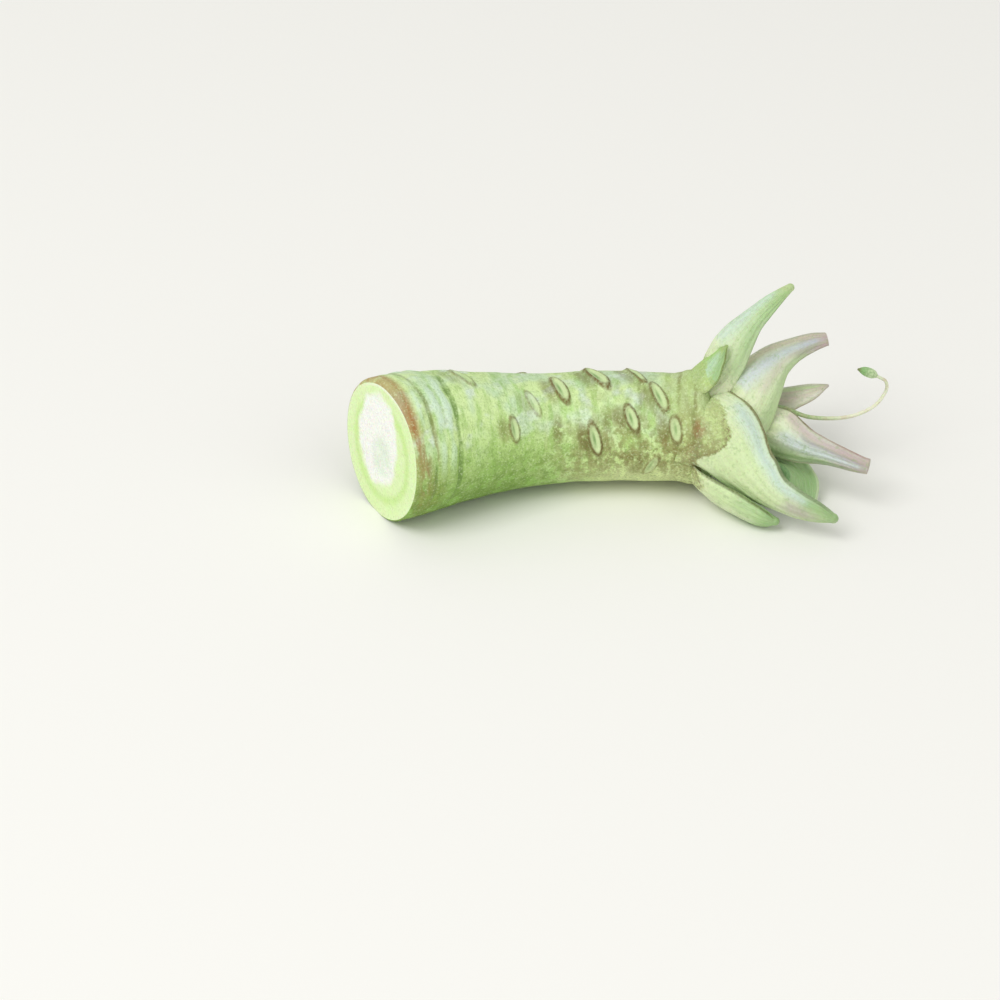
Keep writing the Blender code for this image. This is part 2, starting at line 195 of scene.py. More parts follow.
# Each stalk's rows run from its base to its tip. A row is the distance along the crown's axis, the distance
# out from that axis, the angle about it, the angle that its back faces, its half width round the sheath, its
# thickness, and the radius that the sheath is bent to.
STALKS = {
    "leaf_stalk_front": (
        (17.0, 12.6, 44, 44, 11.8, 0.9, 12.8),
        (22.0, 14.0, 27, 27, 10.8, 2.4, 13.3),
        (26.4, 16.6, 3, 3, 8.0, 3.4, 11.0),
        (29.8, 19.2, -6.5, -6, 6.6, 4.2, 9.0),
        (33.4, 22.3, -11.5, -11.5, 5.0, 4.4, 7.0),
        (38.2, 25.6, -13.4, -13, 4.0, 4.2, 6.0),
        (42.8, 28.0, -14, -14, 2.9, 3.4, 6.0),
        (46.0, 29.6, -14.5, -14, 1.3, 2.2, 6.0),
    ),
    "leaf_stalk_top": (
        (18.9, 10.8, 92, 85, 6.0, 2.0, 11.0),
        (22.0, 13.6, 94, 75, 5.6, 3.4, 9.0),
        (24.6, 17.8, 95, 65, 5.2, 4.2, 8.0),
        (27.0, 22.0, 96, 58, 4.5, 4.0, 7.0),
        (31.0, 27.2, 96, 55, 2.9, 3.2, 7.0),
        (36.0, 32.5, 95, 55, 1.8, 2.4, 6.0),
        (39.2, 35.2, 95, 55, 1.0, 1.7, 6.0),
    ),
    "old_leaf_scale": (
        (16.4, 13.2, 86, 86, 4.2, 0.9, 12.6),
        (18.4, 14.6, 87, 84, 4.9, 1.6, 12.0),
        (21.2, 17.3, 88, 84, 4.5, 1.7, 10.5),
        (23.2, 20.2, 88, 85, 2.8, 1.4, 9.0),
        (24.5, 22.5, 88, 86, 0.5, 0.8, 8.0),
    ),
    "leaf_stalk_upper": (
        (21.5, 8.8, 58, 58, 11.5, 1.4, 8.8),
        (26.6, 10.0, 66, 62, 11.0, 2.6, 9.0),
        (31.2, 13.0, 84, 64, 8.2, 3.7, 8.0),
        (35.7, 15.2, 102, 62, 5.3, 3.9, 6.0),
        (38.7, 16.8, 106, 60, 3.9, 3.7, 6.0),
        (42.0, 18.1, 108, 60, 2.9, 3.3, 6.0),
        (45.8, 19.2, 110, 60, 2.3, 3.0, 6.0),
        (49.2, 19.8, 110, 60, 1.7, 2.6, 6.0),
    ),
    "leaf_stalk_inner_front": (
        (26.0, 4.2, 40, 40, 6.2, 2.2, 6.0),
        (33.1, 4.8, 20, 20, 6.6, 3.6, 6.5),
        (37.4, 6.0, 2, 6, 6.8, 4.4, 6.0),
        (41.5, 8.4, -4, 3, 5.2, 4.2, 6.0),
        (45.8, 10.9, -4, 1, 3.6, 3.8, 6.0),
        (50.1, 13.3, -5, -2, 2.7, 3.5, 6.0),
        (53.7, 15.3, -6.5, -5, 2.3, 3.2, 6.0),
        (56.0, 16.4, -7, -8, 2.1, 3.0, 6.0),
    ),
    "leaf_stub_inner_back": (
        (22.0, 8.8, 182, 182, 10.0, 1.4, 8.8),
        (28.0, 9.2, 174, 168, 9.0, 2.2, 8.5),
        (34.0, 8.4, 158, 130, 6.8, 2.8, 7.0),
        (39.0, 7.2, 140, 100, 5.4, 2.8, 5.5),
        (42.5, 7.3, 135, 95, 4.5, 2.8, 5.0),
        (46.2, 7.7, 130, 90, 2.9, 2.2, 5.0),
        (49.8, 8.6, 128, 85, 0.5, 0.8, 5.0),
    ),
    "leaf_stalk_lower_front": (
        (17.0, 12.4, -42, -44, 7.5, 1.6, 11.0),
        (21.5, 16.8, -35, -40, 7.2, 3.4, 10.0),
        (25.6, 20.6, -30, -38, 6.4, 4.0, 8.0),
        (28.6, 23.2, -27.5, -36, 5.0, 4.0, 7.0),
        (31.4, 25.0, -26, -36, 3.5, 3.4, 6.0),
        (33.6, 25.9, -25.2, -36, 1.3, 2.0, 6.0),
    ),
    "leaf_stalk_lower": (
        (20.5, 10.2, -88, -88, 9.0, 1.4, 10.0),
        (27.0, 10.0, -80, -85, 8.0, 2.6, 9.0),
        (33.0, 9.6, -66, -78, 7.0, 3.4, 8.0),
        (38.0, 10.6, -52, -70, 7.0, 3.8, 7.0),
        (40.8, 14.0, -46, -65, 5.7, 3.8, 6.0),
        (41.8, 18.2, -41, -65, 3.8, 3.2, 6.0),
        (42.1, 21.2, -37, -65, 1.4, 2.0, 6.0),
    ),
    "leaf_stalk_lower_back": (
        (18.5, 12.2, -150, -150, 8.0, 1.6, 11.0),
        (24.0, 15.0, -151, -150, 7.4, 3.4, 10.0),
        (29.5, 19.0, -151.5, -145, 5.6, 4.2, 8.0),
        (35.0, 22.4, -152, -140, 3.9, 4.0, 6.5),
        (40.0, 24.6, -152, -138, 2.6, 3.2, 6.0),
        (43.0, 25.4, -152, -138, 1.2, 2.0, 6.0),
    ),
    "leaf_stalk_back": (
        (18.5, 12.2, 152, 152, 9.0, 1.6, 11.0),
        (24.0, 13.6, 155, 155, 7.0, 3.2, 10.0),
        (29.5, 15.0, 160, 160, 5.2, 4.0, 8.0),
        (34.0, 15.6, 165, 165, 3.8, 3.8, 6.5),
        (38.0, 15.6, 170, 170, 2.8, 3.2, 6.0),
        (40.5, 15.4, 174, 174, 2.2, 2.8, 6.0),
    ),
}
STALK_RINGS = 110
STALK_SIDES = 96
TIP_RINGS = 8

# A grown tip is this many thicknesses long. A trimmed one has a rounded edge, and sinks in its middle.
GROWN_TIP = 0.6
CUT_TIPS = ("leaf_stalk_upper", "leaf_stalk_inner_front", "leaf_stalk_back")
CUT_TIP_ROUNDING = 0.25
CUT_TIP_HOLLOW = 1.4
CUT_EDGE_RINGS = 4

# The young leaf: its stalk's course, as distance along the crown's axis, distance out and angle about it, and
# the rows of its bud, the folded blade at the stalk's end.
YOUNG_STALK_ROUTE = (
    (30.0, 5.0, 100),
    (38.1, 4.4, 100),
    (45.2, 2.1, 75),
    (52.8, 2.1, 60),
    (59.0, 4.9, 68),
    (62.2, 9.0, 79),
    (62.0, 12.0, 80),
    (60.4, 13.4, 80),
    (58.9, 14.3, 80),
)
YOUNG_STALK_STEPS = 160
BUD_ROWS = (
    (59.6, 13.9, 80, 10, 0.5, 0.6, 6.0),
    (58.7, 14.5, 80, 10, 1.05, 1.5, 6.0),
    (57.5, 15.2, 80, 10, 1.15, 1.8, 6.0),
    (56.3, 15.8, 80, 10, 0.9, 1.4, 6.0),
    (55.2, 16.2, 80, 10, 0.3, 0.5, 6.0),
)
BUD_RINGS = 60
BUD_SIDES = 48

# The camera: where it aims, how far off it is, its angles in degrees, and its lens and sensor.
CAMERA_AIM = (-28.0, 0.0, 0.0)
CAMERA_DISTANCE = 713.5
CAMERA_AZIMUTH = -5.0
CAMERA_ELEVATION = 34.0
CAMERA_LENS = 110.0
CAMERA_SENSOR = 36.0

# The stage in metres: half the floor's width, and each light's share of the power, its width and its place.
FLOOR_REACH = 6.0
LIGHTS = {
    "key": (1.0, 1.2, (-0.95, -0.65, 1.6)),
    "fill": (0.15, 1.2, (0.9, -0.9, 0.9)),
}


def hex_colour(code):
    """A "#rrggbb" colour as linear red, green, blue and alpha."""
    values = [int(code[i : i + 2], 16) / 255 for i in (1, 3, 5)]
    return (*(v / 12.92 if v <= 0.04045 else ((v + 0.055) / 1.055) ** 2.4 for v in values), 1.0)


def colour_property(name, code, description):
    return bpy.props.FloatVectorProperty(
        name=name, description=description, subtype="COLOR", size=4, min=0, max=1, default=hex_colour(code)
    )


def length_property(name, millimetres, description):
    return bpy.props.FloatProperty(
        name=name, description=description, subtype="DISTANCE", unit="LENGTH", default=millimetres * MM, min=0
    )


class RhizomeSettings(bpy.types.PropertyGroup):
    scar_height: length_property("Scar height", 0.52, "How far a leaf scar stands out of the skin")
    ring_height: length_property("Ring height", 0.8, "Scale of the ring ridges' and grooves' heights")
    lump_height: length_property("Lump height", 0.35, "How far the skin swells and sinks between its scars")
    green: colour_property("Green skin", "#cfec9e", "Main colour of the skin")
    # Pale patches of the skin, partly painted highlight: they are laid far more strongly on the upper side.
    mint_and_highlight: colour_property("Pale skin", "#cfe9c4", "Pale bloom on the upper side and on the ring ridges")
    # Painted shade: the deeper green that darkens the lower side.
    painted_shade: colour_property("Lower skin", "#7a9d40", "Deeper green of the lower side")
    brown: colour_property("Brown mottling", "#938f57", "Corky mottling, which grows towards the neck")
    rust: colour_property("Rust streaks", "#a8713f", "Dried streaks behind the cut")
    scar_rim: colour_property("Scar rim", "#7d6f42", "Raised corky rim of a leaf scar")
    scar_face: colour_property("Scar face", "#d3e6ad", "Pale face where the leaf came off")
    scar_slit: colour_property("Scar slit", "#89ad6b", "Green line in the middle of a scar")
    flesh: colour_property("Outer flesh", "#dcf3b2", "Green flesh under the skin, at the cut")
    heart: colour_property("Inner flesh", "#fafcf4", "Whitish middle of the cut")


class StalkSettings(bpy.types.PropertyGroup):
    rib_height: length_property("Rib height", 0.10, "How far the veins stand out along a stalk")
    unevenness: length_property("Unevenness", 0.5, "How far a stalk swells and sinks along its sides")
    inside: colour_property("Inner side", "#8fb87a", "Inner side of a stalk, which faces the crown's middle")
    fibres: colour_property("Fibres", "#eef4da", "Pale fibres along a stalk")
    mottling: colour_property("Mottling", "#98bd74", "Green mottling of a stalk's skin")
    cut_end: colour_property("Cut end", "#cfc3b4", "Dried flesh where a stalk was trimmed")


class YoungLeafSettings(bpy.types.PropertyGroup):
    thickness: length_property("Stalk thickness", 1.0, "Thickness of the young leaf's stalk")
    stalk: colour_property("Young stalk", "#eaecd2", "Colour of the stalk's middle")
    stalk_base: colour_property("Young stalk base", "#b3c893", "Colour of the stalk near the crown")
    blade: colour_property("Young blade", "#8dbb76", "Colour of the folded blade's point")
    blade_base: colour_property("Young blade's base", "#cde2b2", "Colour of the folded blade by its stalk")


class StageSettings(bpy.types.PropertyGroup):
    floor: colour_property("Floor", "#f6f5f1", "Colour of the plain floor")
    surround: colour_property("Surround", "#fbfbf8", "Colour of the light from all round")
    key_power: bpy.props.FloatProperty(
        name="Key light", description="Power of the large left light", unit="POWER", default=19.0, min=0
    )


class WasabiSettings(bpy.types.PropertyGroup):
    rhizome: bpy.props.PointerProperty(type=RhizomeSettings)
    stalks: bpy.props.PointerProperty(type=StalkSettings)
    young_leaf: bpy.props.PointerProperty(type=YoungLeafSettings)
    stage: bpy.props.PointerProperty(type=StageSettings)


def through(rows, count):
    """count rows on a smooth curve that passes through the given rows."""
    rows = np.array(rows, float)
    padded = np.vstack([2 * rows[0] - rows[1], rows, 2 * rows[-1] - rows[-2]])
    found = []
    for at in np.linspace(0, len(rows) - 1, count):
        i = min(int(at), len(rows) - 2)
        t = at - i
        before, start, end, after = padded[i : i + 4]
        bend = 2 * before - 5 * start + 4 * end - after
        swing = 3 * start - before - 3 * end + after
        found.append(start + 0.5 * ((end - before) * t + bend * t**2 + swing * t**3))
    return np.array(found)


def reached(points):
    """How far along a line of points each of them is."""
    steps = np.linalg.norm(np.diff(points, axis=0), axis=1)
    return np.concatenate([[0.0], np.cumsum(steps)])


def to_metres(points):
    return (np.array(points, float) - ORIGIN) * MM


def unit(vectors):
    vectors = np.asarray(vectors, float)
    return vectors / np.linalg.norm(vectors, axis=-1, keepdims=True)


def rise(values, start, end):
    """0 before start, 1 after end, and smooth between them."""
    t = np.clip((np.asarray(values, float) - start) / (end - start), 0, 1)
    return t * t * (3 - 2 * t)


def turned_from(turn, angle):
    """How far turns in radians are from an angle, in degrees and the shorter way round."""
    return np.abs((np.degrees(turn) - angle + 180) % 360 - 180)


def crown_point(along, out, angle):
    turned = math.radians(angle)
    return np.array([along, CROWN_Y - out * math.cos(turned), CROWN_Z + out * math.sin(turned)])


def past_neck_edge(points):
    """How far points, in millimetres, lie past the edge of the brown skin, along the crown's axis."""
    angle = np.degrees(np.arctan2(points[..., 2] - CROWN_Z, CROWN_Y - points[..., 1]))
    table = np.array(NECK_EDGE, float)
    edge = np.interp(angle, table[:, 0], table[:, 1], period=360)
    return points[..., 0] - edge - NECK_LOBE * np.abs(np.sin(np.radians(angle * NECK_LOBES / 2)))


def grid_mesh(name, rows, attributes, start_pole, end_pole):
    """A closed mesh from rings of points in millimetres, with a point at each end, and its point attributes.

    attributes maps a name to its values: one for each point of each ring, then one for each pole.
    """
    rings, sides = rows.shape[:2]
    points = np.vstack([rows.reshape(-1, 3), start_pole, end_pole])
    index = np.arange(rings * sides).reshape(rings, sides)
    following = np.roll(index, -1, axis=1)
    quads = np.stack([index[:-1], index[1:], following[1:], following[:-1]], axis=-1).reshape(-1, 4)
    first, last = rings * sides, rings * sides + 1
    fans = [(first, a, b) for a, b in zip(index[0], following[0])]
    fans += [(last, b, a) for a, b in zip(index[-1], following[-1])]
    mesh = bpy.data.meshes.new(name)
    mesh.from_pydata(to_metres(points).tolist(), [], quads.tolist() + fans)
    for label, values in attributes.items():
        mesh.attributes.new(label, "FLOAT", "POINT").data.foreach_set("value", np.asarray(values, np.float32))
    mesh.validate()
    mesh.shade_smooth()
    return mesh


def with_poles(values, start, end):
    return np.concatenate([np.asarray(values, float).ravel(), [start, end]])


def rhizome_course():
    """Rows at even distances along the rhizome's centre line, with the ways up and to the front there."""
    rows = through(RHIZOME_STATIONS, CENTRE_LINE_STEPS)
    reach = reached(rows[:, :3])
    even = np.linspace(0, reach[-1], CENTRE_LINE_STEPS)
    rows = np.column_stack([np.interp(even, reach, column) for column in rows.T])
    ahead = unit(np.gradient(rows[:, :3], axis=0))
    up = unit(np.array([0, 0, 1]) - ahead * ahead[:, 2:])
    return rows, up, np.cross(ahead, up)


def on_skin(course, turn, places):
    """Points on the rhizome's skin, and how far along they are.

    places holds shares of the centre line's length, one for each angle of turn, in one row or a row a ring.
    """
    steps = np.linspace(0, 1, CENTRE_LINE_STEPS)
    there = np.stack([np.interp(places, steps, column) for column in np.hstack(course).T], axis=-1)
    centre, radius, up, front = np.split(there, (3, 4, 7), axis=-1)
    along = centre[..., 0]
    swelling = 0.0
    for start, full, height, angle, spread in SWELLINGS:
        beside = 1 - rise(turned_from(turn, angle), 0.3 * spread, spread)
        swelling = np.maximum(swelling, height * rise(along, start, full) * beside)
    radius = radius[..., 0] + swelling * (1 - rise(along, *SWELLING_FADE))
    outward = np.cos(turn)[:, None] * front + np.sin(turn)[:, None] * up
    return centre + radius[..., None] * outward, along


def rhizome_mesh():
    """The rhizome's smooth shape: the cut face, its rounded rim, the skin, and the shoulder in the crown."""
    course = rhizome_course()
    rows = course[0]
    length = reached(rows[:, :3])[-1]
    turn = np.linspace(0, 2 * math.pi, RHIZOME_SIDES, endpoint=False)
    steps = np.linspace(0, 1, CENTRE_LINE_STEPS)
    everywhere, _ = on_skin(course, turn, np.repeat(steps[:, None], RHIZOME_SIDES, axis=1))
    beyond = (everywhere - CUT_POINT) @ unit(CUT_FACING)
    start = np.array([np.interp(0, -side, steps) for side in beyond.T])
    before_shoulder = np.linspace(0, SHOULDER_FROM, SKIN_RINGS, endpoint=False)
    share = np.concatenate([before_shoulder, np.linspace(SHOULDER_FROM, 1, SHOULDER_RINGS)])[:, None]
    skin, along = on_skin(course, turn, start + (1 - start) * share)
    behind = share * (1 - start) * length

    corner, middle = skin[0], skin[0].mean(axis=0)
    inward = unit(middle - corner)
    backward = unit(skin[4] - corner)
    radius = RIM_ROUNDING + TOP_ROUNDING * (1 - rise(turned_from(turn, TOP_ANGLE), *TOP_REACH))
    first, _ = on_skin(course, turn, start + radius / length)
    skin = skin + (1 - rise(behind, 0, RIM_FADE))[..., None] * (first - corner)
    turned = np.linspace(0, math.pi / 2, RIM_RINGS + 1)[1:, None, None]
    radius = radius[:, None]
    hub = corner + radius * (inward + backward)
    rounding = hub - radius * (np.cos(turned) * inward + np.sin(turned) * backward)
    shares = 1 - np.linspace(0, 1, FACE_RINGS + 1)[1:-1] ** FACE_RING_SPACING
    face = middle + shares[:, None, None] * (rounding[-1] - middle)

    loft = np.concatenate([face[::-1], rounding[::-1], skin])
    on_face = np.repeat(shares[::-1, None] - 1, RHIZOME_SIDES, axis=1)
    from_cut = np.concatenate([on_face, np.zeros((RIM_RINGS, RHIZOME_SIDES)), behind + 0.01])
    at_cut = np.repeat(along[:1], len(face) + RIM_RINGS, axis=0)
    tip = rows[-1, :3]
    attributes = {
        "along": with_poles(np.concatenate([at_cut, along]), rows[0, 0], tip[0]),
        "around": with_poles(np.tile(turn, len(loft)), 0, 0),
        "from_cut": with_poles(from_cut, -1, length),
        "past_edge": with_poles(past_neck_edge(loft), *past_neck_edge(np.array([middle, tip]))),
    }
    return grid_mesh("rhizome", loft, attributes, middle, tip)


def scar_points():
    """A point on the skin for each leaf scar, with its place and its size."""
    rows, up, front = rhizome_course()
    points, places, sizes = [], [], []
    for along, angle, half_width, half_length, lean, strength in LEAF_SCARS:
        k = int(np.argmin(np.abs(rows[:, 0] - along)))
        turned, radius = math.radians(angle), rows[k, 3]
        points.append(rows[k, :3] + radius * (math.cos(turned) * front[k] + math.sin(turned) * up[k]))
        places.append((along, turned, strength))
        sizes.append((half_width, half_length / radius, lean * radius))
    mesh = bpy.data.meshes.new("leaf_scars")
    mesh.from_pydata(to_metres(points).tolist(), [], [])
    for label, values in (("place", places), ("size", sizes)):
        mesh.attributes.new(label, "FLOAT_VECTOR", "POINT").data.foreach_set("vector", np.ravel(values))
    return mesh


def section(half_width, thickness, bend, turn):
    """A flat ellipse bent round an arc, as distances sideways and outwards at each angle of turn."""
    radius = bend + 0.5 * thickness * np.sin(turn)
    around = half_width * np.cos(turn) / bend
    return radius * np.sin(around), radius * np.cos(around) - bend


def tip_steps(thickness, cut_tip):
    """A stalk's rings past its last row: how far each is drawn in and lies ahead, and if it is on a cut."""
    steps = []
    if cut_tip:
        for turned in np.linspace(0, math.pi / 2, CUT_EDGE_RINGS + 1)[1:]:
            drawn_in, ahead = 1 - math.cos(turned), math.sin(turned)
            steps.append((CUT_TIP_ROUNDING * drawn_in, CUT_TIP_ROUNDING * ahead, False))
        for drawn_in in np.linspace(0, 1, TIP_RINGS)[1:-1]:
            steps.append((drawn_in, CUT_TIP_ROUNDING * (1 - CUT_TIP_HOLLOW * drawn_in**2), True))
    else:
        for turned in np.linspace(0, math.pi / 2, TIP_RINGS + 1)[1:-1]:
            steps.append((1 - math.cos(turned), GROWN_TIP * thickness * math.sin(turned), False))
    return steps


def stalk_mesh(name, rows, rings, sides, cut_tip):
    """A stalk's smooth shape, from its rows, with a rounded tip or one cut off flat."""
    rows = through(rows, rings)
    spine = np.array([crown_point(*row[:3]) for row in rows])
    ahead = unit(np.gradient(spine, axis=0))
    share = reached(spine) / reached(spine)[-1]
    outward = np.array([crown_point(0, 1, row[3]) - crown_point(0, 0, 0) for row in rows])
    outward = unit(outward - ahead * (outward * ahead).sum(axis=1, keepdims=True))
    beside = np.cross(ahead, outward)
    turn = np.linspace(0, 2 * math.pi, sides, endpoint=False)
    past_last = tip_steps(rows[-1][5], cut_tip)
    steps = [(i, 0.0, 0.0, False) for i in range(rings)] + [(rings - 1, *step) for step in past_last]
    loft, values = [], []
    for k, (i, drawn_in, forward, on_cut) in enumerate(steps):
        sideways, out = section(*rows[i][4:], turn)
        size = kept = 1 - drawn_in
        # The rounded edge of a cut is drawn in by the same distance all round.
        if cut_tip and not on_cut:
            size, kept = 1.0, 1 - drawn_in / np.maximum(np.hypot(sideways, out), 0.6)
        middle = spine[i] + ahead[i] * forward
        loft.append(middle + np.outer(sideways * kept, beside[i]) + np.outer(out * kept, outward[i]))
        row = (share[i], np.cos(turn) * size, np.sin(turn) * size, k < rings, drawn_in if on_cut else 0.0)
        values.append([np.broadcast_to(value, sides) for value in row])
    loft, values = np.array(loft), np.array(values, float)
    tip = loft[-1].mean(axis=0)
    poles = {"share": (0, 1), "across": (0, 0), "outer": (0, 0), "wall": (0, 0), "heart": (0, cut_tip)}
    attributes = {label: with_poles(values[:, j], *ends) for j, (label, ends) in enumerate(poles.items())}
    attributes["past_edge"] = with_poles(past_neck_edge(loft), *past_neck_edge(np.array([spine[0], tip])))
    attributes["along"] = with_poles(loft[..., 0], rows[0][0], tip[0])
    return grid_mesh(name, loft, attributes, spine[0], tip)


SMOOTH = {"interpolation_type": "SMOOTHSTEP"}


def add_node(tree, kind, inputs=(), output=0, **settings):
    """Adds a node with these settings and returns one of its outputs.

    kind is the node's type, without any ShaderNode before it. inputs is a list in the sockets' order, or a
    dict by their names or numbers, of constants and of the outputs that feed the sockets.
    """
    node = tree.nodes.new(kind if "Node" in kind else "ShaderNode" + kind)
    for key, value in settings.items():
        setattr(node, key, value)
    for key, value in inputs.items() if isinstance(inputs, dict) else enumerate(inputs):
        if isinstance(value, bpy.types.NodeSocket):
            tree.links.new(value, node.inputs[key])
        else:
            node.inputs[key].default_value = value
    return node.outputs[output] if len(node.outputs) else node


def tree_of(*values):
    """The node tree that the first output among values is in."""
    return next(value.id_data for value in values if isinstance(value, bpy.types.NodeSocket))


def product(found, *values):
    """The product of values. They are numbers and outputs, and one of the first two is an output."""
    for value in values:
        found = add_node(tree_of(found, value), "Math", [found, value], operation="MULTIPLY")
    return found


def total(found, *values):
    """The sum of values, given as for a product."""
    for value in values:
        found = add_node(tree_of(found, value), "Math", [found, value], operation="ADD")
    return found


def graded(share, none, full):
    """none where share is 0, full where it is 1, and even between them."""
    return total(none, product(share, full - none))


def bell(value, centre, half_width):
    """1 where value is at centre, falling smoothly to 0 at half_width to either side."""
    tree = value.id_data
    apart = add_node(tree, "Math", [value, centre], operation="SUBTRACT")
    apart = add_node(tree, "Math", [apart], operation="ABSOLUTE")
    return add_node(tree, "MapRange", [apart, half_width, 0.0], **SMOOTH)


def within(value, low, high, blur):
    """1 where a value lies between low and high, falling softly to 0 outside."""
    tree = value.id_data
    above = add_node(tree, "MapRange", [value, low - blur, low + blur], **SMOOTH)
    below = add_node(tree, "MapRange", [value, high + blur, high - blur], **SMOOTH)
    return product(above, below)


def distance(across, along):
    """The straight distance that two distances at right angles make."""
    tree = across.id_data
    both = add_node(tree, "CombineXYZ", [across, along])
    return add_node(tree, "VectorMath", [both], "Value", operation="LENGTH")


def distance_in(place, middle, reach):
    """How far a place is from middle, where 1 is as far as reach goes in each direction."""
    tree = place.id_data
    apart = add_node(tree, "VectorMath", [place, middle], operation="SUBTRACT")
    apart = add_node(tree, "VectorMath", [apart, reach], operation="DIVIDE")
    return add_node(tree, "VectorMath", [apart], "Value", operation="LENGTH")


def unevenness(place, scale, detail, seed):
    """Noise about 0, from -0.5 to 0.5. scale is how many of its patches there are in a metre."""
    tree = place.id_data
    inputs = {"Vector": place, "W": seed, "Scale": scale, "Detail": detail}
    noise = add_node(tree, "TexNoise", inputs, noise_dimensions="4D")
    return add_node(tree, "Math", [noise, 0.5], operation="SUBTRACT")


def geometry_tree(name, inputs):
    """A new Geometry Nodes tree with these named inputs, and the node that holds them."""
    tree = bpy.data.node_groups.new(name, "GeometryNodeTree")
    tree.interface.new_socket("Geometry", in_out="OUTPUT", socket_type="NodeSocketGeometry")
    for label, kind in {"Geometry": "Geometry", **inputs}.items():
        tree.interface.new_socket(label, in_out="INPUT", socket_type="NodeSocket" + kind)
    return tree, tree.nodes.new("NodeGroupInput").outputs


def moved_out(shape, relief):
    """shape with its surface moved out along its normals by the relief."""
    tree = shape.id_data
    normal = add_node(tree, "GeometryNodeInputNormal")
    offset = add_node(tree, "VectorMath", {0: normal, "Scale": relief}, operation="SCALE")
    return add_node(tree, "GeometryNodeSetPosition", {"Geometry": shape, "Offset": offset})


def on_ground(shape, position):
    """shape pressed flat where it would sink into the ground."""
    tree = shape.id_data
    raised = add_node(tree, "VectorMath", [position, (-9, -9, 0)], operation="MAXIMUM")
    return add_node(tree, "GeometryNodeSetPosition", {"Geometry": shape, "Position": raised})


def with_skin(shape, skin):
    """shape as real geometry, all of it in one material."""
    tree = shape.id_data
    shape = add_node(tree, "GeometryNodeRealizeInstances", [shape])
    return add_node(tree, "GeometryNodeSetMaterial", {"Geometry": shape, "Material": skin})


def nearest_scar(scars, position, along, around):
    """How far a point lies across and round the nearest scar, in the scar's sizes, and how strong it is."""
    tree = scars.id_data
    nearest = add_node(tree, "GeometryNodeSampleNearest", [scars, position])
    parts = []
    for label in ("place", "size"):
        value = add_node(tree, "GeometryNodeInputNamedAttribute", [label], data_type="FLOAT_VECTOR")
        inputs = {0: scars, 1: value, "Index": nearest}
        value = add_node(tree, "GeometryNodeSampleIndex", inputs, data_type="FLOAT_VECTOR")
        parts += add_node(tree, "SeparateXYZ", [value]).node.outputs[:]
    scar_along, scar_around, strength, half_width, half_turn, lean = parts
    turned = add_node(tree, "Math", [around, scar_around], operation="SUBTRACT")
    turned = add_node(tree, "Math", [turned, math.pi, -math.pi], operation="WRAP")
    across = add_node(tree, "Math", [along, scar_along], operation="SUBTRACT")
    across = add_node(tree, "Math", [turned, lean, across], operation="MULTIPLY_ADD")
    across = add_node(tree, "Math", [across, half_width], operation="DIVIDE")
    turned = add_node(tree, "Math", [turned, half_turn], operation="DIVIDE")
    return across, turned, strength


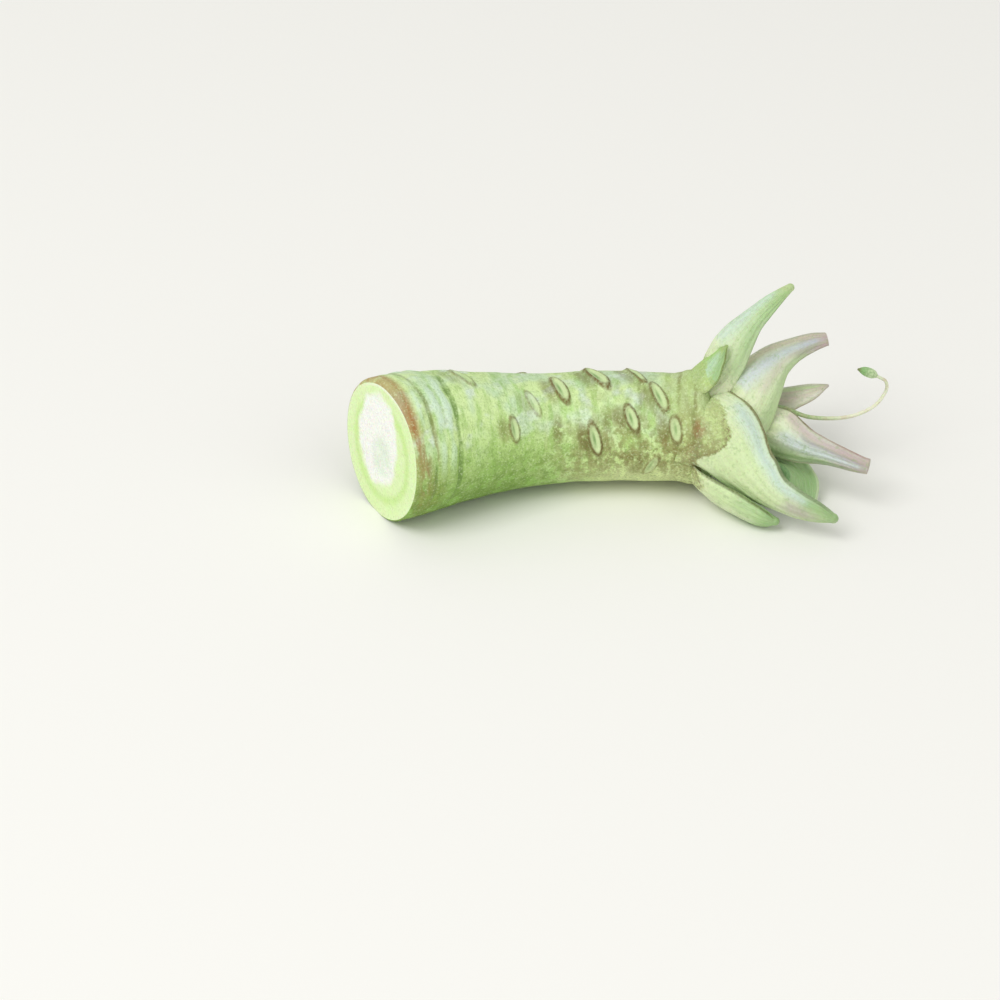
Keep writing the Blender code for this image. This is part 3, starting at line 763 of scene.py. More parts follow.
def rhizome_tree():
    """Ring ridges, leaf scars and soft lumps on the rhizome, pressed flat where it touches the ground."""
    inputs = {"Scars": "Object", "Skin": "Material", "Flesh": "Material"}
    inputs |= dict.fromkeys(("Scar Height", "Ring Height", "Lump Height", "Seed"), "Float")
    tree, given = geometry_tree("Rhizome relief", inputs)
    along, around, from_cut = (
        add_node(tree, "GeometryNodeInputNamedAttribute", [name]) for name in ("along", "around", "from_cut")
    )
    position = add_node(tree, "GeometryNodeInputPosition")
    # Noises for the sway of the rings, for soft lumps and for a pebbled surface, from coarse to fine.
    sway, lump, pebble = (
        unevenness(position, scale, detail, total(given["Seed"], offset))
        for scale, detail, offset in ((60, 2, 0), (95, 2, 7), (420, 3, 3))
    )

    rings = 0.0
    for measure, table in ((from_cut, CUT_RINGS), (along, NECK_RINGS)):
        swayed = add_node(tree, "Math", [sway, 4.0, measure], operation="MULTIPLY_ADD")
        for at, height, half_width in table:
            ring = bell(swayed, at, half_width)
            rings = add_node(tree, "Math", [ring, height, rings], operation="MULTIPLY_ADD")
    broken = add_node(tree, "MapRange", [lump, -0.12, 0.08, 0.3, 1.2])
    height = add_node(tree, "SeparateXYZ", [position], 2)
    rings = product(rings, broken, add_node(tree, "MapRange", [height, 0.002, 0.017, 0.1, 1.0]))

    scars = add_node(tree, "GeometryNodeObjectInfo", {"Object": given["Scars"]}, "Geometry")
    across, turned, strong = nearest_scar(scars, position, along, around)
    far = distance(across, turned)
    strong = product(strong, add_node(tree, "MapRange", [far, 1.5, 1.15], **SMOOTH))
    # The swelling that carries a scar reaches further on the side of the cut.
    shifted = total(across, 0.35)
    drawn_out = add_node(tree, "Math", [shifted, product(shifted, 0.55)], operation="MAXIMUM")
    mound = add_node(tree, "MapRange", [distance(drawn_out, turned), 1.5, 0.6], **SMOOTH)
    hollow = add_node(tree, "MapRange", [far, 0.85, 0.55, 0.0, -0.6], **SMOOTH)
    slit = product(bell(across, 0.0, 0.3), bell(turned, 0.0, 0.7), -0.45)
    rim = product(bell(far, 0.9, 0.3), 0.8)
    scar_relief = product(total(mound, rim, hollow, slit), strong)
    # A brown patch on the cut's side of each scar, partly brown skin and partly painted shade.
    behind = add_node(tree, "VectorMath", [position, (SMUDGE_AND_SHADE_OFFSET * MM, 0, 0)], operation="ADD")
    near = nearest_scar(scars, behind, total(along, SMUDGE_AND_SHADE_OFFSET), around)
    near_far = distance(product(near[0], 0.75), near[1])
    smudge = product(near[2], add_node(tree, "MapRange", [near_far, 1.4, 0.45], **SMOOTH))

    lumps = total(product(lump, 3.0), product(pebble, 0.3))
    relief = total(
        product(scar_relief, given["Scar Height"]),
        product(rings, given["Ring Height"]),
        product(lumps, given["Lump Height"]),
    )
    skin_share = add_node(tree, "MapRange", [from_cut, 0.0, 1.6], **SMOOTH)
    face_share = add_node(tree, "MapRange", [from_cut, -0.02, -0.1], **SMOOTH)
    relief = total(product(relief, skin_share), product(pebble, face_share, 0.8 * MM))
    shape = moved_out(given["Geometry"], relief)
    scar = add_node(tree, "CombineXYZ", [across, turned, strong])
    stored = (("ring", "FLOAT", rings), ("smudge", "FLOAT", smudge), ("scar", "FLOAT_VECTOR", scar))
    for name, kind, value in stored:
        inputs = {"Geometry": shape, "Name": name, "Value": value}
        shape = add_node(tree, "GeometryNodeStoreNamedAttribute", inputs, data_type=kind, domain="POINT")
    shape = with_skin(on_ground(shape, position), given["Skin"])
    cut_faces = add_node(tree, "FunctionNodeCompare", {0: from_cut, 1: -0.001}, operation="LESS_THAN")
    inputs = {"Geometry": shape, "Selection": cut_faces, "Material": given["Flesh"]}
    add_node(tree, "NodeGroupOutput", [add_node(tree, "GeometryNodeSetMaterial", inputs)])
    return tree


def stalk_tree():
    """Veins along a stalk and a slight unevenness, on its walls and not on its end."""
    inputs = dict.fromkeys(("Rib Count", "Rib Height", "Unevenness", "Seed"), "Float")
    tree, given = geometry_tree("Stalk ribs", {**inputs, "Skin": "Material"})
    across, outer, share, wall = (
        add_node(tree, "GeometryNodeInputNamedAttribute", [name])
        for name in ("across", "outer", "share", "wall")
    )
    position = add_node(tree, "GeometryNodeInputPosition")
    noise = unevenness(position, 130, 2, given["Seed"])
    wave = product(add_node(tree, "Math", [noise, 0.12, across], operation="MULTIPLY_ADD"), math.pi)
    ribs = add_node(tree, "Math", [product(wave, given["Rib Count"])], operation="COSINE")
    sideways = add_node(tree, "Math", [outer], operation="ABSOLUTE")
    from_margin = add_node(tree, "MapRange", [sideways, 0.15, 0.5], **SMOOTH)
    from_tip = add_node(tree, "MapRange", [share, 1.0, 0.86, 0.25, 1.0])
    ribs = product(ribs, given["Rib Height"], from_margin, from_tip)
    relief = product(total(ribs, product(noise, given["Unevenness"])), wall)
    shape = on_ground(moved_out(given["Geometry"], relief), position)
    add_node(tree, "NodeGroupOutput", [with_skin(shape, given["Skin"])])
    return tree


def young_stalk_tree():
    """A thin tube along a path, thicker at its foot."""
    tree, given = geometry_tree("Young stalk", {"Radius": "Float", "Skin": "Material"})
    line = add_node(tree, "GeometryNodeMeshToCurve", [given["Geometry"]])
    share = add_node(tree, "GeometryNodeSplineParameter")
    inputs = {"Geometry": line, "Name": "share", "Value": share}
    line = add_node(tree, "GeometryNodeStoreNamedAttribute", inputs, data_type="FLOAT")
    inputs = {"Resolution": 20, "Radius": given["Radius"]}
    profile = add_node(tree, "GeometryNodeCurvePrimitiveCircle", inputs)
    width = add_node(tree, "MapRange", [share, 0.0, 1.0, 1.15, 0.72])
    inputs = {"Curve": line, "Profile Curve": profile, "Scale": width, "Fill Caps": True}
    tube = add_node(tree, "GeometryNodeCurveToMesh", inputs)
    tube = add_node(tree, "GeometryNodeMergeByDistance", {"Geometry": tube, "Distance": 0.002 * MM})
    tube = add_node(tree, "GeometryNodeSetShadeSmooth", [tube])
    add_node(tree, "NodeGroupOutput", [with_skin(tube, given["Skin"])])
    return tree


def new_material(name):
    material = bpy.data.materials.new(name)
    material.use_nodes = True
    material.node_tree.nodes.clear()
    return material, material.node_tree


def painted(ground, layers):
    """ground with each layer mixed over it. A layer is a colour and the factors that make its share."""
    for colour, *factors in layers:
        if isinstance(colour, str):
            colour = hex_colour(colour)
        share = product(*factors)
        ground = add_node(share.id_data, "Mix", {0: share, 6: ground, 7: colour}, 2, data_type="RGBA")
    return ground


def patches(place, size, low, high, detail, seed):
    """Soft patches of this size in millimetres: 0 where the noise is under low, 1 where it is over high."""
    tree = place.id_data
    inputs = {"Vector": place, "W": seed, "Scale": 1 / (size * MM), "Detail": detail}
    noise = add_node(tree, "TexNoise", inputs, noise_dimensions="4D")
    return add_node(tree, "MapRange", [noise, low, high], **SMOOTH)


def stained(place):
    """How brown, how rusty and how clear the stains make the skin at a place."""
    sums = [0.0, 0.0, 0.0]
    for middle, reach, *strengths in STAINS:
        far = distance_in(place, Vector(middle) * MM, Vector(reach) * MM)
        near = add_node(place.id_data, "MapRange", [far, 1.0, 0.4], **SMOOTH)
        for index, strength in enumerate(strengths):
            if strength:
                sums[index] = total(sums[index], product(near, strength))
    return sums


def skin_paint(tree, looks):
    """The rhizome's skin: its colour, its fine relief in millimetres, and the distance past its edge."""
    place = add_node(tree, "TexCoord", output="Object")
    x, _, height = add_node(tree, "SeparateXYZ", [place]).node.outputs[:]
    along, ring, smudge, from_cut, past_edge = (
        add_node(tree, "Attribute", output="Fac", attribute_name=name)
        for name in ("along", "ring", "smudge", "from_cut", "past_edge")
    )
    scar = add_node(tree, "Attribute", output="Vector", attribute_name="scar")
    across, turned, strong = add_node(tree, "SeparateXYZ", [scar]).node.outputs[:]
    # Streaks run round the root: their noise follows the distance along it, and is drawn out across it.
    squeezed = add_node(tree, "VectorMath", [place, (0, 0.25, 0.25)], operation="MULTIPLY")
    lengthwise = add_node(tree, "CombineXYZ", [product(along, MM)])
    round_place = add_node(tree, "VectorMath", [squeezed, lengthwise], operation="ADD")
    spots = partial(patches, place)
    streaks = partial(patches, round_place)

    # A leaf scar's rim, its face, and the slit in the middle of the face.
    far = distance(across, turned)
    rim = product(bell(far, 1.03, 0.38), strong, graded(spots(0.7, 0.35, 0.6, 2, 9), 0.5, 1.0))
    face = product(add_node(tree, "MapRange", [far, 0.95, 0.78], **SMOOTH), strong)
    slit = product(bell(across, -0.12, 0.42), bell(turned, 0.0, 0.8), strong)

    # Zones by height above the ground, then by distance along the rhizome.
    high = add_node(tree, "MapRange", [height, 0.014, 0.027], **SMOOTH)
    low = add_node(tree, "MapRange", [height, 0.024, 0.004], **SMOOTH)
    on_top = add_node(tree, "MapRange", [height, 0.027, 0.033])
    not_on_top = add_node(tree, "MapRange", [height, 0.027, 0.022], **SMOOTH)
    waist = bell(height, 0.013, 0.014)
    thick_end = add_node(tree, "MapRange", [along, -10.0, -29.0])
    thin_end = add_node(tree, "MapRange", [along, -16.0, 2.0])
    toward_neck = add_node(tree, "MapRange", [along, -26.0, 2.0], **SMOOTH)
    at_neck = add_node(tree, "MapRange", [along, 9.0, 15.5], **SMOOTH)
    by_rim = add_node(tree, "MapRange", [along, -40, -46])

    # Cork, which grows towards the neck except in clear places, and the ring ridges and grooves.
    stain, rusty, clear = stained(place)
    corky = product(toward_neck, graded(clear, 1.0, 0.15), graded(waist, 0.15, 1.0))
    groove = add_node(tree, "MapRange", [ring, -0.03, -0.22], **SMOOTH)
    ridge = add_node(tree, "MapRange", [ring, 0.04, 0.24], **SMOOTH)

    # Bands behind the cut, under both ends, and along the neck, where one line is bowed towards the cut. That
    # line is painted shadow between the swelling and the neck, and the band under the neck is painted
    # reflected light.
    at_rim = product(bell(from_cut, 0.5, 2.0), bell(height, 0.0285, 0.014), by_rim)
    by_cut = product(bell(from_cut, 2.0, 2.4), bell(height, 0.019, 0.014))
    cut_groove = product(bell(from_cut, 4.7, 1.0), bell(height, 0.0215, 0.018))
    under_cut = product(bell(from_cut, 3.0, 9.0), bell(height, 0.010, 0.014), thick_end)
    reflected_under_neck = product(bell(height, 0.0050, 0.0085), thin_end)
    bowed = add_node(tree, "Math", [total(height, -0.019), 2.0], operation="POWER")
    bowed = total(x, product(bowed, 40.0))
    neck_shadow = product(bell(height, 0.0195, 0.0095), bell(bowed, 0.0168, 0.0015))
    edge = product(bell(past_edge, -0.5, 1.3), not_on_top, spots(0.6, 0.45, 0.6, 2, 21))

    layers = [
        # Painted highlight: a lighter green over the upper side, and pale patches that gather there.
        ("#e2f6b6", high, 0.6),
        (looks.mint_and_highlight[:], spots(10, 0.42, 0.6, 3, 1), graded(product(high, high), 0.06, 0.91)),
        ("#9cca66", streaks(1.7, 0.46, 0.62, 3, 2), 0.5),
        ("#b0d470", thick_end, bell(height, 0.017, 0.013), 0.4),
        # Painted highlight: pale patches on the upper side only.
        ("#e0efe0", spots(6, 0.52, 0.64, 3, 3), high, 0.8),
        # Painted shade: the lower side deepens in green, most towards the cut.
        (looks.painted_shade[:], low, graded(thick_end, 0.1, 1.0)),
        ("#85923c", under_cut, streaks(2.0, 0.3, 0.55, 3, 38), 0.8),
        ("#76993f", spots(1.7, 0.47, 0.6, 4, 26), graded(low, 0.2, 0.8)),
        ("#a3d768", low, spots(3, 0.48, 0.6, 4, 18), 0.45),
        ("#75954c", groove, graded(spots(2.6, 0.4, 0.6, 3, 32), 0.45, 0.85)),
        # Painted highlight on the ring ridges, on the upper side only.
        ("#d4ecd2", ridge, high, 0.8),
        ("#c1d389", at_neck, 0.7),
        ("#aed46c", at_neck, on_top, 0.7),
        # Painted reflected light: the lower side is lightened towards the neck.
        ("#e2edaa", low, thin_end, 0.85),
        ("#c6ec8c", clear, spots(1.5, 0.2, 0.5, 3, 39), 0.6),
        (looks.brown[:], streaks(2.4, 0.49, 0.6, 3, 27), corky, 0.8),
        (looks.brown[:], spots(3.0, 0.44, 0.56, 4, 6), corky, 0.85),
        ("#827d49", spots(1.3, 0.47, 0.6, 3, 8), corky, 0.65),
        # Painted reflected light: a pale band low under the neck.
        ("#e6f5b6", reflected_under_neck, 0.65),
        (looks.scar_rim[:], groove, spots(2.5, 0.35, 0.55, 3, 11), toward_neck, 0.8),
        (looks.brown[:], spots(0.7, 0.46, 0.6, 2, 19), at_neck, graded(high, 0.5, 0.1)),
        # Painted shadow: the dark line between the swelling and the neck.
        ("#7c7443", spots(1.2, 0.30, 0.5, 3, 31), neck_shadow, 0.95),
        ("#7f7d48", spots(1.1, 0.34, 0.52, 3, 36), stain, 0.85),
        ("#a47a52", spots(1.3, 0.36, 0.56, 3, 24), rusty, 0.7),
        ("#9a7c48", streaks(1.6, 0.42, 0.54, 4, 33), by_cut, 0.85),
        (looks.rust[:], streaks(1.6, 0.28, 0.44, 4, 29), at_rim, 0.95),
        (looks.brown[:], streaks(1.4, 0.36, 0.5, 3, 25), cut_groove, 0.8),
        # Brown patch beside each scar, partly brown skin and partly painted shade, fainter on the upper side.
        ("#7b723f", smudge, spots(1.4, 0.22, 0.46, 3, 4), graded(high, 0.92, 0.57)),
        # Dark grain, fainter on the upper side, where that adds to the painted highlight.
        ("#789748", spots(0.45, 0.5, 0.66, 2, 5), graded(high, 0.5, 0.25)),
        ("#e3f5c2", spots(0.5, 0.52, 0.7, 2, 14), 0.4),
        (looks.scar_face[:], face),
        (looks.scar_slit[:], slit),
        (looks.scar_rim[:], rim),
        (looks.scar_rim[:], edge, 0.85),
    ]
    pores = product(spots(0.6, 0.2, 0.8, 4, 15), 0.12)
    lines = product(streaks(0.5, 0.2, 0.8, 2, 16), 0.06)
    relief = total(pores, lines, product(rim, 0.15), product(slit, -0.12))
    return painted(looks.green[:], layers), relief, past_edge


def finished(colour, relief, settings, roughness):
    """Joins a colour and a relief in millimetres to a Principled surface. settings are constant sockets."""
    tree = relief.id_data
    bump = add_node(tree, "Bump", {"Strength": 1.0, "Distance": MM, "Height": relief})
    inputs = {"Base Color": colour, "Normal": bump, "Roughness": roughness, **settings}
    add_node(tree, "OutputMaterial", {"Surface": add_node(tree, "BsdfPrincipled", inputs)})


def rhizome_skin_material(looks):
    """Living plant skin, grown and only brushed clean: matt with a trace of wax, mottled by cork, and finely
    pored."""
    material, tree = new_material("wasabi skin, grown and brushed clean")
    colour, relief, past_edge = skin_paint(tree, looks)
    place = add_node(tree, "TexCoord", output="Object")
    pale = add_node(tree, "MapRange", [past_edge, 0.0, 0.6], **SMOOTH)
    # The growing tip inside the crown is folded lengthwise, like the young leaves that it carries.
    drawn_out = add_node(tree, "VectorMath", [place, (0.15, 1.0, 1.0)], operation="MULTIPLY")
    folds = patches(drawn_out, 1.6, 0.35, 0.65, 2, 41)
    colour = painted(colour, [("#dfe9bd", pale), ("#a9c877", pale, folds, 0.7)])
    relief = total(relief, product(pale, folds, -0.35))
    roughness = graded(patches(place, 2.0, 0.3, 0.7, 3, 17), 0.42, 0.62)
    finished(colour, relief, {"IOR": 1.42, "Specular IOR Level": 0.3}, roughness)
    return material


def flesh_material(looks, centre, radius):
    """Fresh root flesh, cut with a knife: wet and finely granular, whitish inside, green under the skin."""
    material, tree = new_material("wasabi flesh, knife cut")
    place = add_node(tree, "TexCoord", output="Object")
    height = add_node(tree, "SeparateXYZ", [place], 2)
    from_cut = add_node(tree, "Attribute", output="Fac", attribute_name="from_cut")
    spots = partial(patches, place)
    # The whitish heart with its wandering edge, and the greyer middle of it, each a little off the centre.
    heart_far, pale_far = (
        distance_in(place, Vector(centre) + Vector(offset) * radius, Vector(reach) * radius)
        for offset, reach in (((0, 0.16, 0.05), (1, 1 / 1.12, 1 / 0.84)), ((0, 0.02, -0.12), (1, 1, 1 / 0.9)))
    )
    heart_far = total(heart_far, product(spots(5.0, 0.2, 0.8, 2, 1), -0.1))
    heart = add_node(tree, "MapRange", [heart_far, 0.58, 0.46], **SMOOTH)
    pale = add_node(tree, "MapRange", [pale_far, 0.34, 0.16], **SMOOTH)
    rim = add_node(tree, "MapRange", [from_cut, -0.06, -0.02], **SMOOTH)
    layers = [
        ("#e2f4c0", spots(2.6, 0.4, 0.65, 3, 2), 0.5),
        ("#c3e688", bell(from_cut, -0.27, 0.11), 0.7),
        (looks.heart[:], heart),
        ("#e0eeda", pale, 0.8, spots(2.2, 0.2, 0.55, 3, 3)),
        ("#e6f0d2", heart, spots(0.9, 0.55, 0.68, 3, 4), 0.4),
        # A pale line along the rim, made stronger towards the top as painted highlight.
        ("#f6fbe8", rim, add_node(tree, "MapRange", [height, 0.028, 0.033, 0.12, 0.85])),
    ]
    grain = spots(0.7, 0.25, 0.75, 4, 5)
    relief = product(grain, graded(heart, 0.06, 0.14))
    settings = {
        "IOR": 1.36,
        "Subsurface Weight": 0.25,
        "Subsurface Radius": (0.5, 1.0, 0.3),
        "Subsurface Scale": 1.5 * MM,
    }
    finished(painted(looks.flesh[:], layers), relief, settings, graded(grain, 0.38, 0.22))
    return material


# How each stalk is coloured. Its ramp gives the colour at places from its base, 0, to its tip, 1. Each stripe
# along it has a colour, a strength, where it begins and ends, where across the stalk it lies at its base and
# at its tip, and its half width; -1 and 1 across are the stalk's edges. The pale bluish stripes are painted
# highlight and the darker green ones towards an edge are painted shade; the rest are the stalk's own colours.
# Each margin has an edge, a colour, a strength, where it begins and ends, and how far across it starts. The
# dark margins are partly brown edges and partly painted shade where the stalks lie against each other.
STALK_LOOKS = {
    "leaf_stalk_front": (
        ((0.0, "#e3efc4"), (0.4, "#d8ebb7"), (0.75, "#d2e3b6"), (0.88, "#bdd49f"), (1.0, "#a3c588")),
        (
            ("#c5ddd6", 0.95, 0.13, 0.86, -0.62, -0.66, 0.26),
            ("#cfe3a6", 0.6, 0.05, 0.7, 0.25, 0.3, 0.5),
            ("#b09ca6", 0.75, 0.72, 0.9, -0.2, 0.0, 0.5),
            ("#86b06c", 0.8, 0.8, 1.1, -0.8, -0.7, 0.5),
        ),
        (
            (-1, "#77713f", 0.95, 0.02, 0.66, 0.83),
            (-1, "#80936c", 0.85, 0.5, 0.97, 0.82),
            (1, "#bfb08a", 0.4, 0.1, 0.9, 0.95),
        ),
    ),
    "leaf_stalk_top": (
        ((0.15, "#edf2cf"), (0.36, "#e0edc4"), (0.6, "#c8e0b6"), (0.9, "#b3d597"), (1.0, "#c6db9d")),
        (
            ("#cfe6d8", 0.9, 0.4, 0.92, -0.5, -0.6, 0.5),
            ("#9cc57e", 0.7, 0.2, 1.0, 0.68, 0.5, 0.42),
        ),
        ((1, "#8aad6c", 0.7, 0.2, 0.95, 0.9), (-1, "#d2c49a", 0.5, 0.1, 0.8, 0.93)),
    ),
    "old_leaf_scale": (
        ((0.2, "#bfe08e"), (0.6, "#aed583"), (1.0, "#a8c66e")),
        (
            ("#b9dcc0", 0.85, 0.1, 0.85, 0.1, 0.2, 0.5),
            ("#9bd152", 0.7, 0.1, 0.9, -0.7, -0.6, 0.4),
            ("#85b37a", 0.7, 0.25, 0.95, 0.85, 0.7, 0.3),
        ),
        ((1, "#7c8a4c", 0.9, 0.1, 1.0, 0.9), (-1, "#7fae42", 0.6, 0.0, 0.9, 0.9)),
    ),
    "leaf_stalk_upper": (
        ((0.1, "#e2edc2"), (0.4, "#dfe9c4"), (0.7, "#d3dac2"), (0.88, "#c4bcb6"), (1.0, "#c3a9ad")),
        (
            ("#e8d3c3", 0.7, 0.25, 0.95, -0.75, -0.4, 0.3),
            ("#ccd6e2", 0.95, 0.28, 0.95, -0.35, 0.3, 0.3),
            ("#c9b9b4", 0.5, 0.3, 0.8, 0.2, 0.5, 0.2),
            ("#a9cc84", 0.8, 0.15, 0.85, 0.72, 0.85, 0.32),
            ("#9c9a8c", 0.75, 0.72, 0.97, 0.6, 0.6, 0.25),
        ),
        ((1, "#8c9162", 0.8, 0.2, 0.95, 0.92), (-1, "#c7a98d", 0.6, 0.2, 1.0, 0.93)),
    ),
    "leaf_stalk_inner_front": (
        ((0.1, "#dcebb9"), (0.35, "#e6edc9"), (0.6, "#dbe4d0"), (0.85, "#cdbfc0"), (1.0, "#c7b0b2")),
        (
            ("#c3a6b0", 0.85, 0.35, 1.0, -0.78, -0.6, 0.28),
            ("#8f8794", 0.8, 0.55, 0.97, -0.52, -0.3, 0.13),
            ("#dce9ee", 0.9, 0.32, 0.97, -0.25, 0.0, 0.3),
            ("#a7cb8a", 0.8, 0.2, 0.72, 0.2, 0.5, 0.22),
            ("#8fa583", 0.8, 0.5, 0.95, 0.75, 0.6, 0.25),
            ("#e2cfc6", 0.8, 0.3, 0.62, 0.75, 0.8, 0.2),
        ),
        (
            (-1, "#77703f", 0.95, 0.1, 0.55, 0.84),
            (-1, "#a9877c", 0.8, 0.45, 1.0, 0.9),
            (1, "#9d9a78", 0.7, 0.2, 1.0, 0.93),
        ),
    ),
    "leaf_stub_inner_back": (
        ((0.3, "#c9c6b1"), (0.6, "#d6d9bf"), (0.85, "#e6e3d3"), (1.0, "#d9cfc2")),
        (
            ("#aea59d", 0.7, 0.3, 0.75, 0.5, 0.5, 0.5),
            ("#c3dc9c", 0.8, 0.55, 0.95, -0.3, 0.1, 0.3),
            ("#dbc6bd", 0.7, 0.4, 1.0, 0.7, 0.5, 0.16),
            ("#d4bcb4", 0.6, 0.5, 1.0, 0.15, 0.3, 0.1),
        ),
        ((-1, "#8fa06c", 0.6, 0.2, 1.0, 0.92), (1, "#b59b86", 0.6, 0.2, 1.0, 0.92)),
    ),
    "leaf_stalk_lower_front": (
        ((0.05, "#e4efbf"), (0.5, "#d3e8b0"), (0.78, "#b0d093"), (1.0, "#93bd7a")),
        (("#9cc27f", 0.7, 0.5, 1.0, 0.6, 0.3, 0.4), ("#e6eed0", 0.6, 0.15, 0.8, -0.2, -0.1, 0.3)),
        ((-1, "#5f6838", 0.9, 0.0, 0.98, 0.94), (1, "#b89d86", 0.6, 0.0, 0.85, 0.94)),
    ),
    "leaf_stalk_lower": (
        ((0.2, "#a9cd8c"), (0.8, "#9fc784"), (1.0, "#b5d49a")),
        (("#74ad6d", 0.95, 0.2, 1.1, -0.45, -0.4, 0.55), ("#bfdca4", 0.85, 0.2, 1.1, 0.7, 0.7, 0.32)),
        ((1, "#cfe0b6", 0.8, 0.2, 1.0, 0.9), (-1, "#5f8f5c", 0.7, 0.1, 0.95, 0.88)),
    ),
    "leaf_stalk_lower_back": (
        ((0.0, "#e4efbf"), (0.5, "#cfe4ae"), (0.8, "#b2d095"), (1.0, "#98c07e")),
        (("#cbe4d6", 0.8, 0.2, 0.85, 0.1, 0.1, 0.35), ("#9cc27f", 0.6, 0.4, 1.0, -0.7, -0.5, 0.4)),
        ((1, "#7c7645", 0.8, 0.05, 0.9, 0.9), (-1, "#b89d86", 0.5, 0.0, 0.9, 0.93)),
    ),
    "leaf_stalk_back": (
        ((0.0, "#e3edc2"), (0.45, "#dbe6c6"), (0.72, "#d0d2c2"), (0.9, "#c6b3b2"), (1.0, "#c2a8ab")),
        (
            ("#cddbe0", 0.9, 0.25, 0.95, 0.1, 0.1, 0.35),
            ("#a9cc84", 0.7, 0.15, 0.8, -0.75, -0.8, 0.3),
            ("#cfb0b0", 0.7, 0.35, 1.0, 0.7, 0.6, 0.25),
        ),
        ((-1, "#8c9162", 0.7, 0.1, 0.9, 0.92), (1, "#a9877c", 0.6, 0.1, 1.0, 0.93)),
    ),
}


def stalk_material(name, looks, skin_looks):
    """A leaf stalk's skin, grown smooth under a film of wax: satin and finely veined, with pale stripes of
    painted highlight and darker stripes of painted shade.
    """
    ramp, stripes, margins = STALK_LOOKS[name]
    material, tree = new_material(name.replace("_", " ") + " skin, smooth and waxy")
    skin, skin_relief, past_edge = skin_paint(tree, skin_looks)
    place = add_node(tree, "TexCoord", output="Object")
    share, across, outer, heart = (
        add_node(tree, "Attribute", output="Fac", attribute_name=label)
        for label in ("share", "across", "outer", "heart")
    )
    # Fibres run along the stalk: their noise is spread over its own section and length.
    spread = [product(across, 20 * MM), product(share, 12 * MM), product(outer, 10 * MM)]
    stretched = add_node(tree, "CombineXYZ", spread)
    spots = partial(patches, place)
    fibres = patches(stretched, 0.9, 0.3, 0.7, 3, 1)
    grain = spots(0.55, 0.42, 0.66, 2, 3)
    swayed = total(share, graded(spots(5.0, 0.2, 0.8, 2, 6), -0.06, 0.06))
    outside = add_node(tree, "MapRange", [outer, -0.25, 0.2], **SMOOTH)
    inner = add_node(tree, "MapRange", [outer, -0.15, -0.6], **SMOOTH)
    streaky = graded(fibres, 0.7, 1.0)

    layers = []
    for (start, _), (end, code) in zip(ramp, ramp[1:]):
        layers.append((code, add_node(tree, "MapRange", [swayed, start, end], **SMOOTH)))
    layers.append(("#c6df9d", patches(stretched, 3.0, 0.38, 0.62, 2, 2), 0.3))
    # Stripes: the pale bluish ones are painted highlight, the darker green ones towards an edge painted
    # shade.
    for code, strength, start, end, at_base, at_tip, half_width in stripes:
        middle = add_node(tree, "Math", [share, at_tip - at_base, at_base], operation="MULTIPLY_ADD")
        off = add_node(tree, "Math", [across, middle], operation="SUBTRACT")
        stripe = product(bell(off, 0.0, half_width * 1.4), within(swayed, start, end, 0.07))
        layers.append((code, stripe, streaky, outside, strength))
    layers += [
        (looks.inside[:], inner, 0.6),
        (looks.fibres[:], fibres, 0.22),
        (looks.mottling[:], spots(1.6, 0.5, 0.62, 3, 7), grain, 0.35),
        ("#a3b184", grain, 0.16),
        ("#b89a83", spots(0.6, 0.56, 0.68, 2, 8), 0.13),
    ]
    # Dark margins: partly brown edges, partly painted shade where the stalks lie against each other.
    for side, code, strength, start, end, begins in margins:
        at_margin = add_node(tree, "MapRange", [product(across, side), begins, begins + 0.06], **SMOOTH)
        beside = within(share, start, end, 0.06)
        layers.append((code, at_margin, beside, strength, graded(grain, 0.75, 1.0)))
    ragged = graded(spots(1.2, 0.3, 0.7, 3, 9), -0.6, 0.6)
    skin_share = add_node(tree, "MapRange", [total(past_edge, ragged), 0.5, -0.5], **SMOOTH)
    layers += [(looks.cut_end[:], heart), (skin, skin_share, 0.9)]
    relief = total(
        product(fibres, 0.06),
        product(spots(0.5, 0.2, 0.8, 3, 4), 0.03),
        product(skin_relief, skin_share),
    )
    settings = {
        "IOR": 1.42,
        "Specular IOR Level": 0.35,
        "Subsurface Weight": 0.12,
        "Subsurface Radius": (0.6, 1.0, 0.3),
        "Subsurface Scale": 1.2 * MM,
    }
    finished(painted(hex_colour(ramp[0][1]), layers), relief, settings, 0.45)
    return material


def young_stalk_material(looks):
    """A young stalk, thin and full of sap: satin and a little clear, greener towards the crown."""
    material, tree = new_material("young stalk, thin and full of sap")
    share = add_node(tree, "Attribute", output="Fac", attribute_name="share")
    spots = partial(patches, add_node(tree, "TexCoord", output="Object"))
    base = add_node(tree, "MapRange", [share, 0.62, 0.3], **SMOOTH)
    end = add_node(tree, "MapRange", [share, 0.8, 1.0], **SMOOTH)
    layers = [
        (looks.stalk_base[:], base),
        (looks.blade_base[:], end, 0.5),
        ("#cdb298", spots(1.2, 0.45, 0.65, 3, 1), 0.4),
        ("#86a566", spots(0.5, 0.5, 0.65, 2, 5), base, 0.5),
    ]
    relief = product(spots(0.4, 0.2, 0.8, 3, 2), 0.03)
    settings = {
        "IOR": 1.42,
        "Subsurface Weight": 0.2,
        "Subsurface Radius": (0.6, 1.0, 0.3),
        "Subsurface Scale": 0.8 * MM,
    }
    finished(painted(looks.stalk[:], layers), relief, settings, 0.38)
    return material


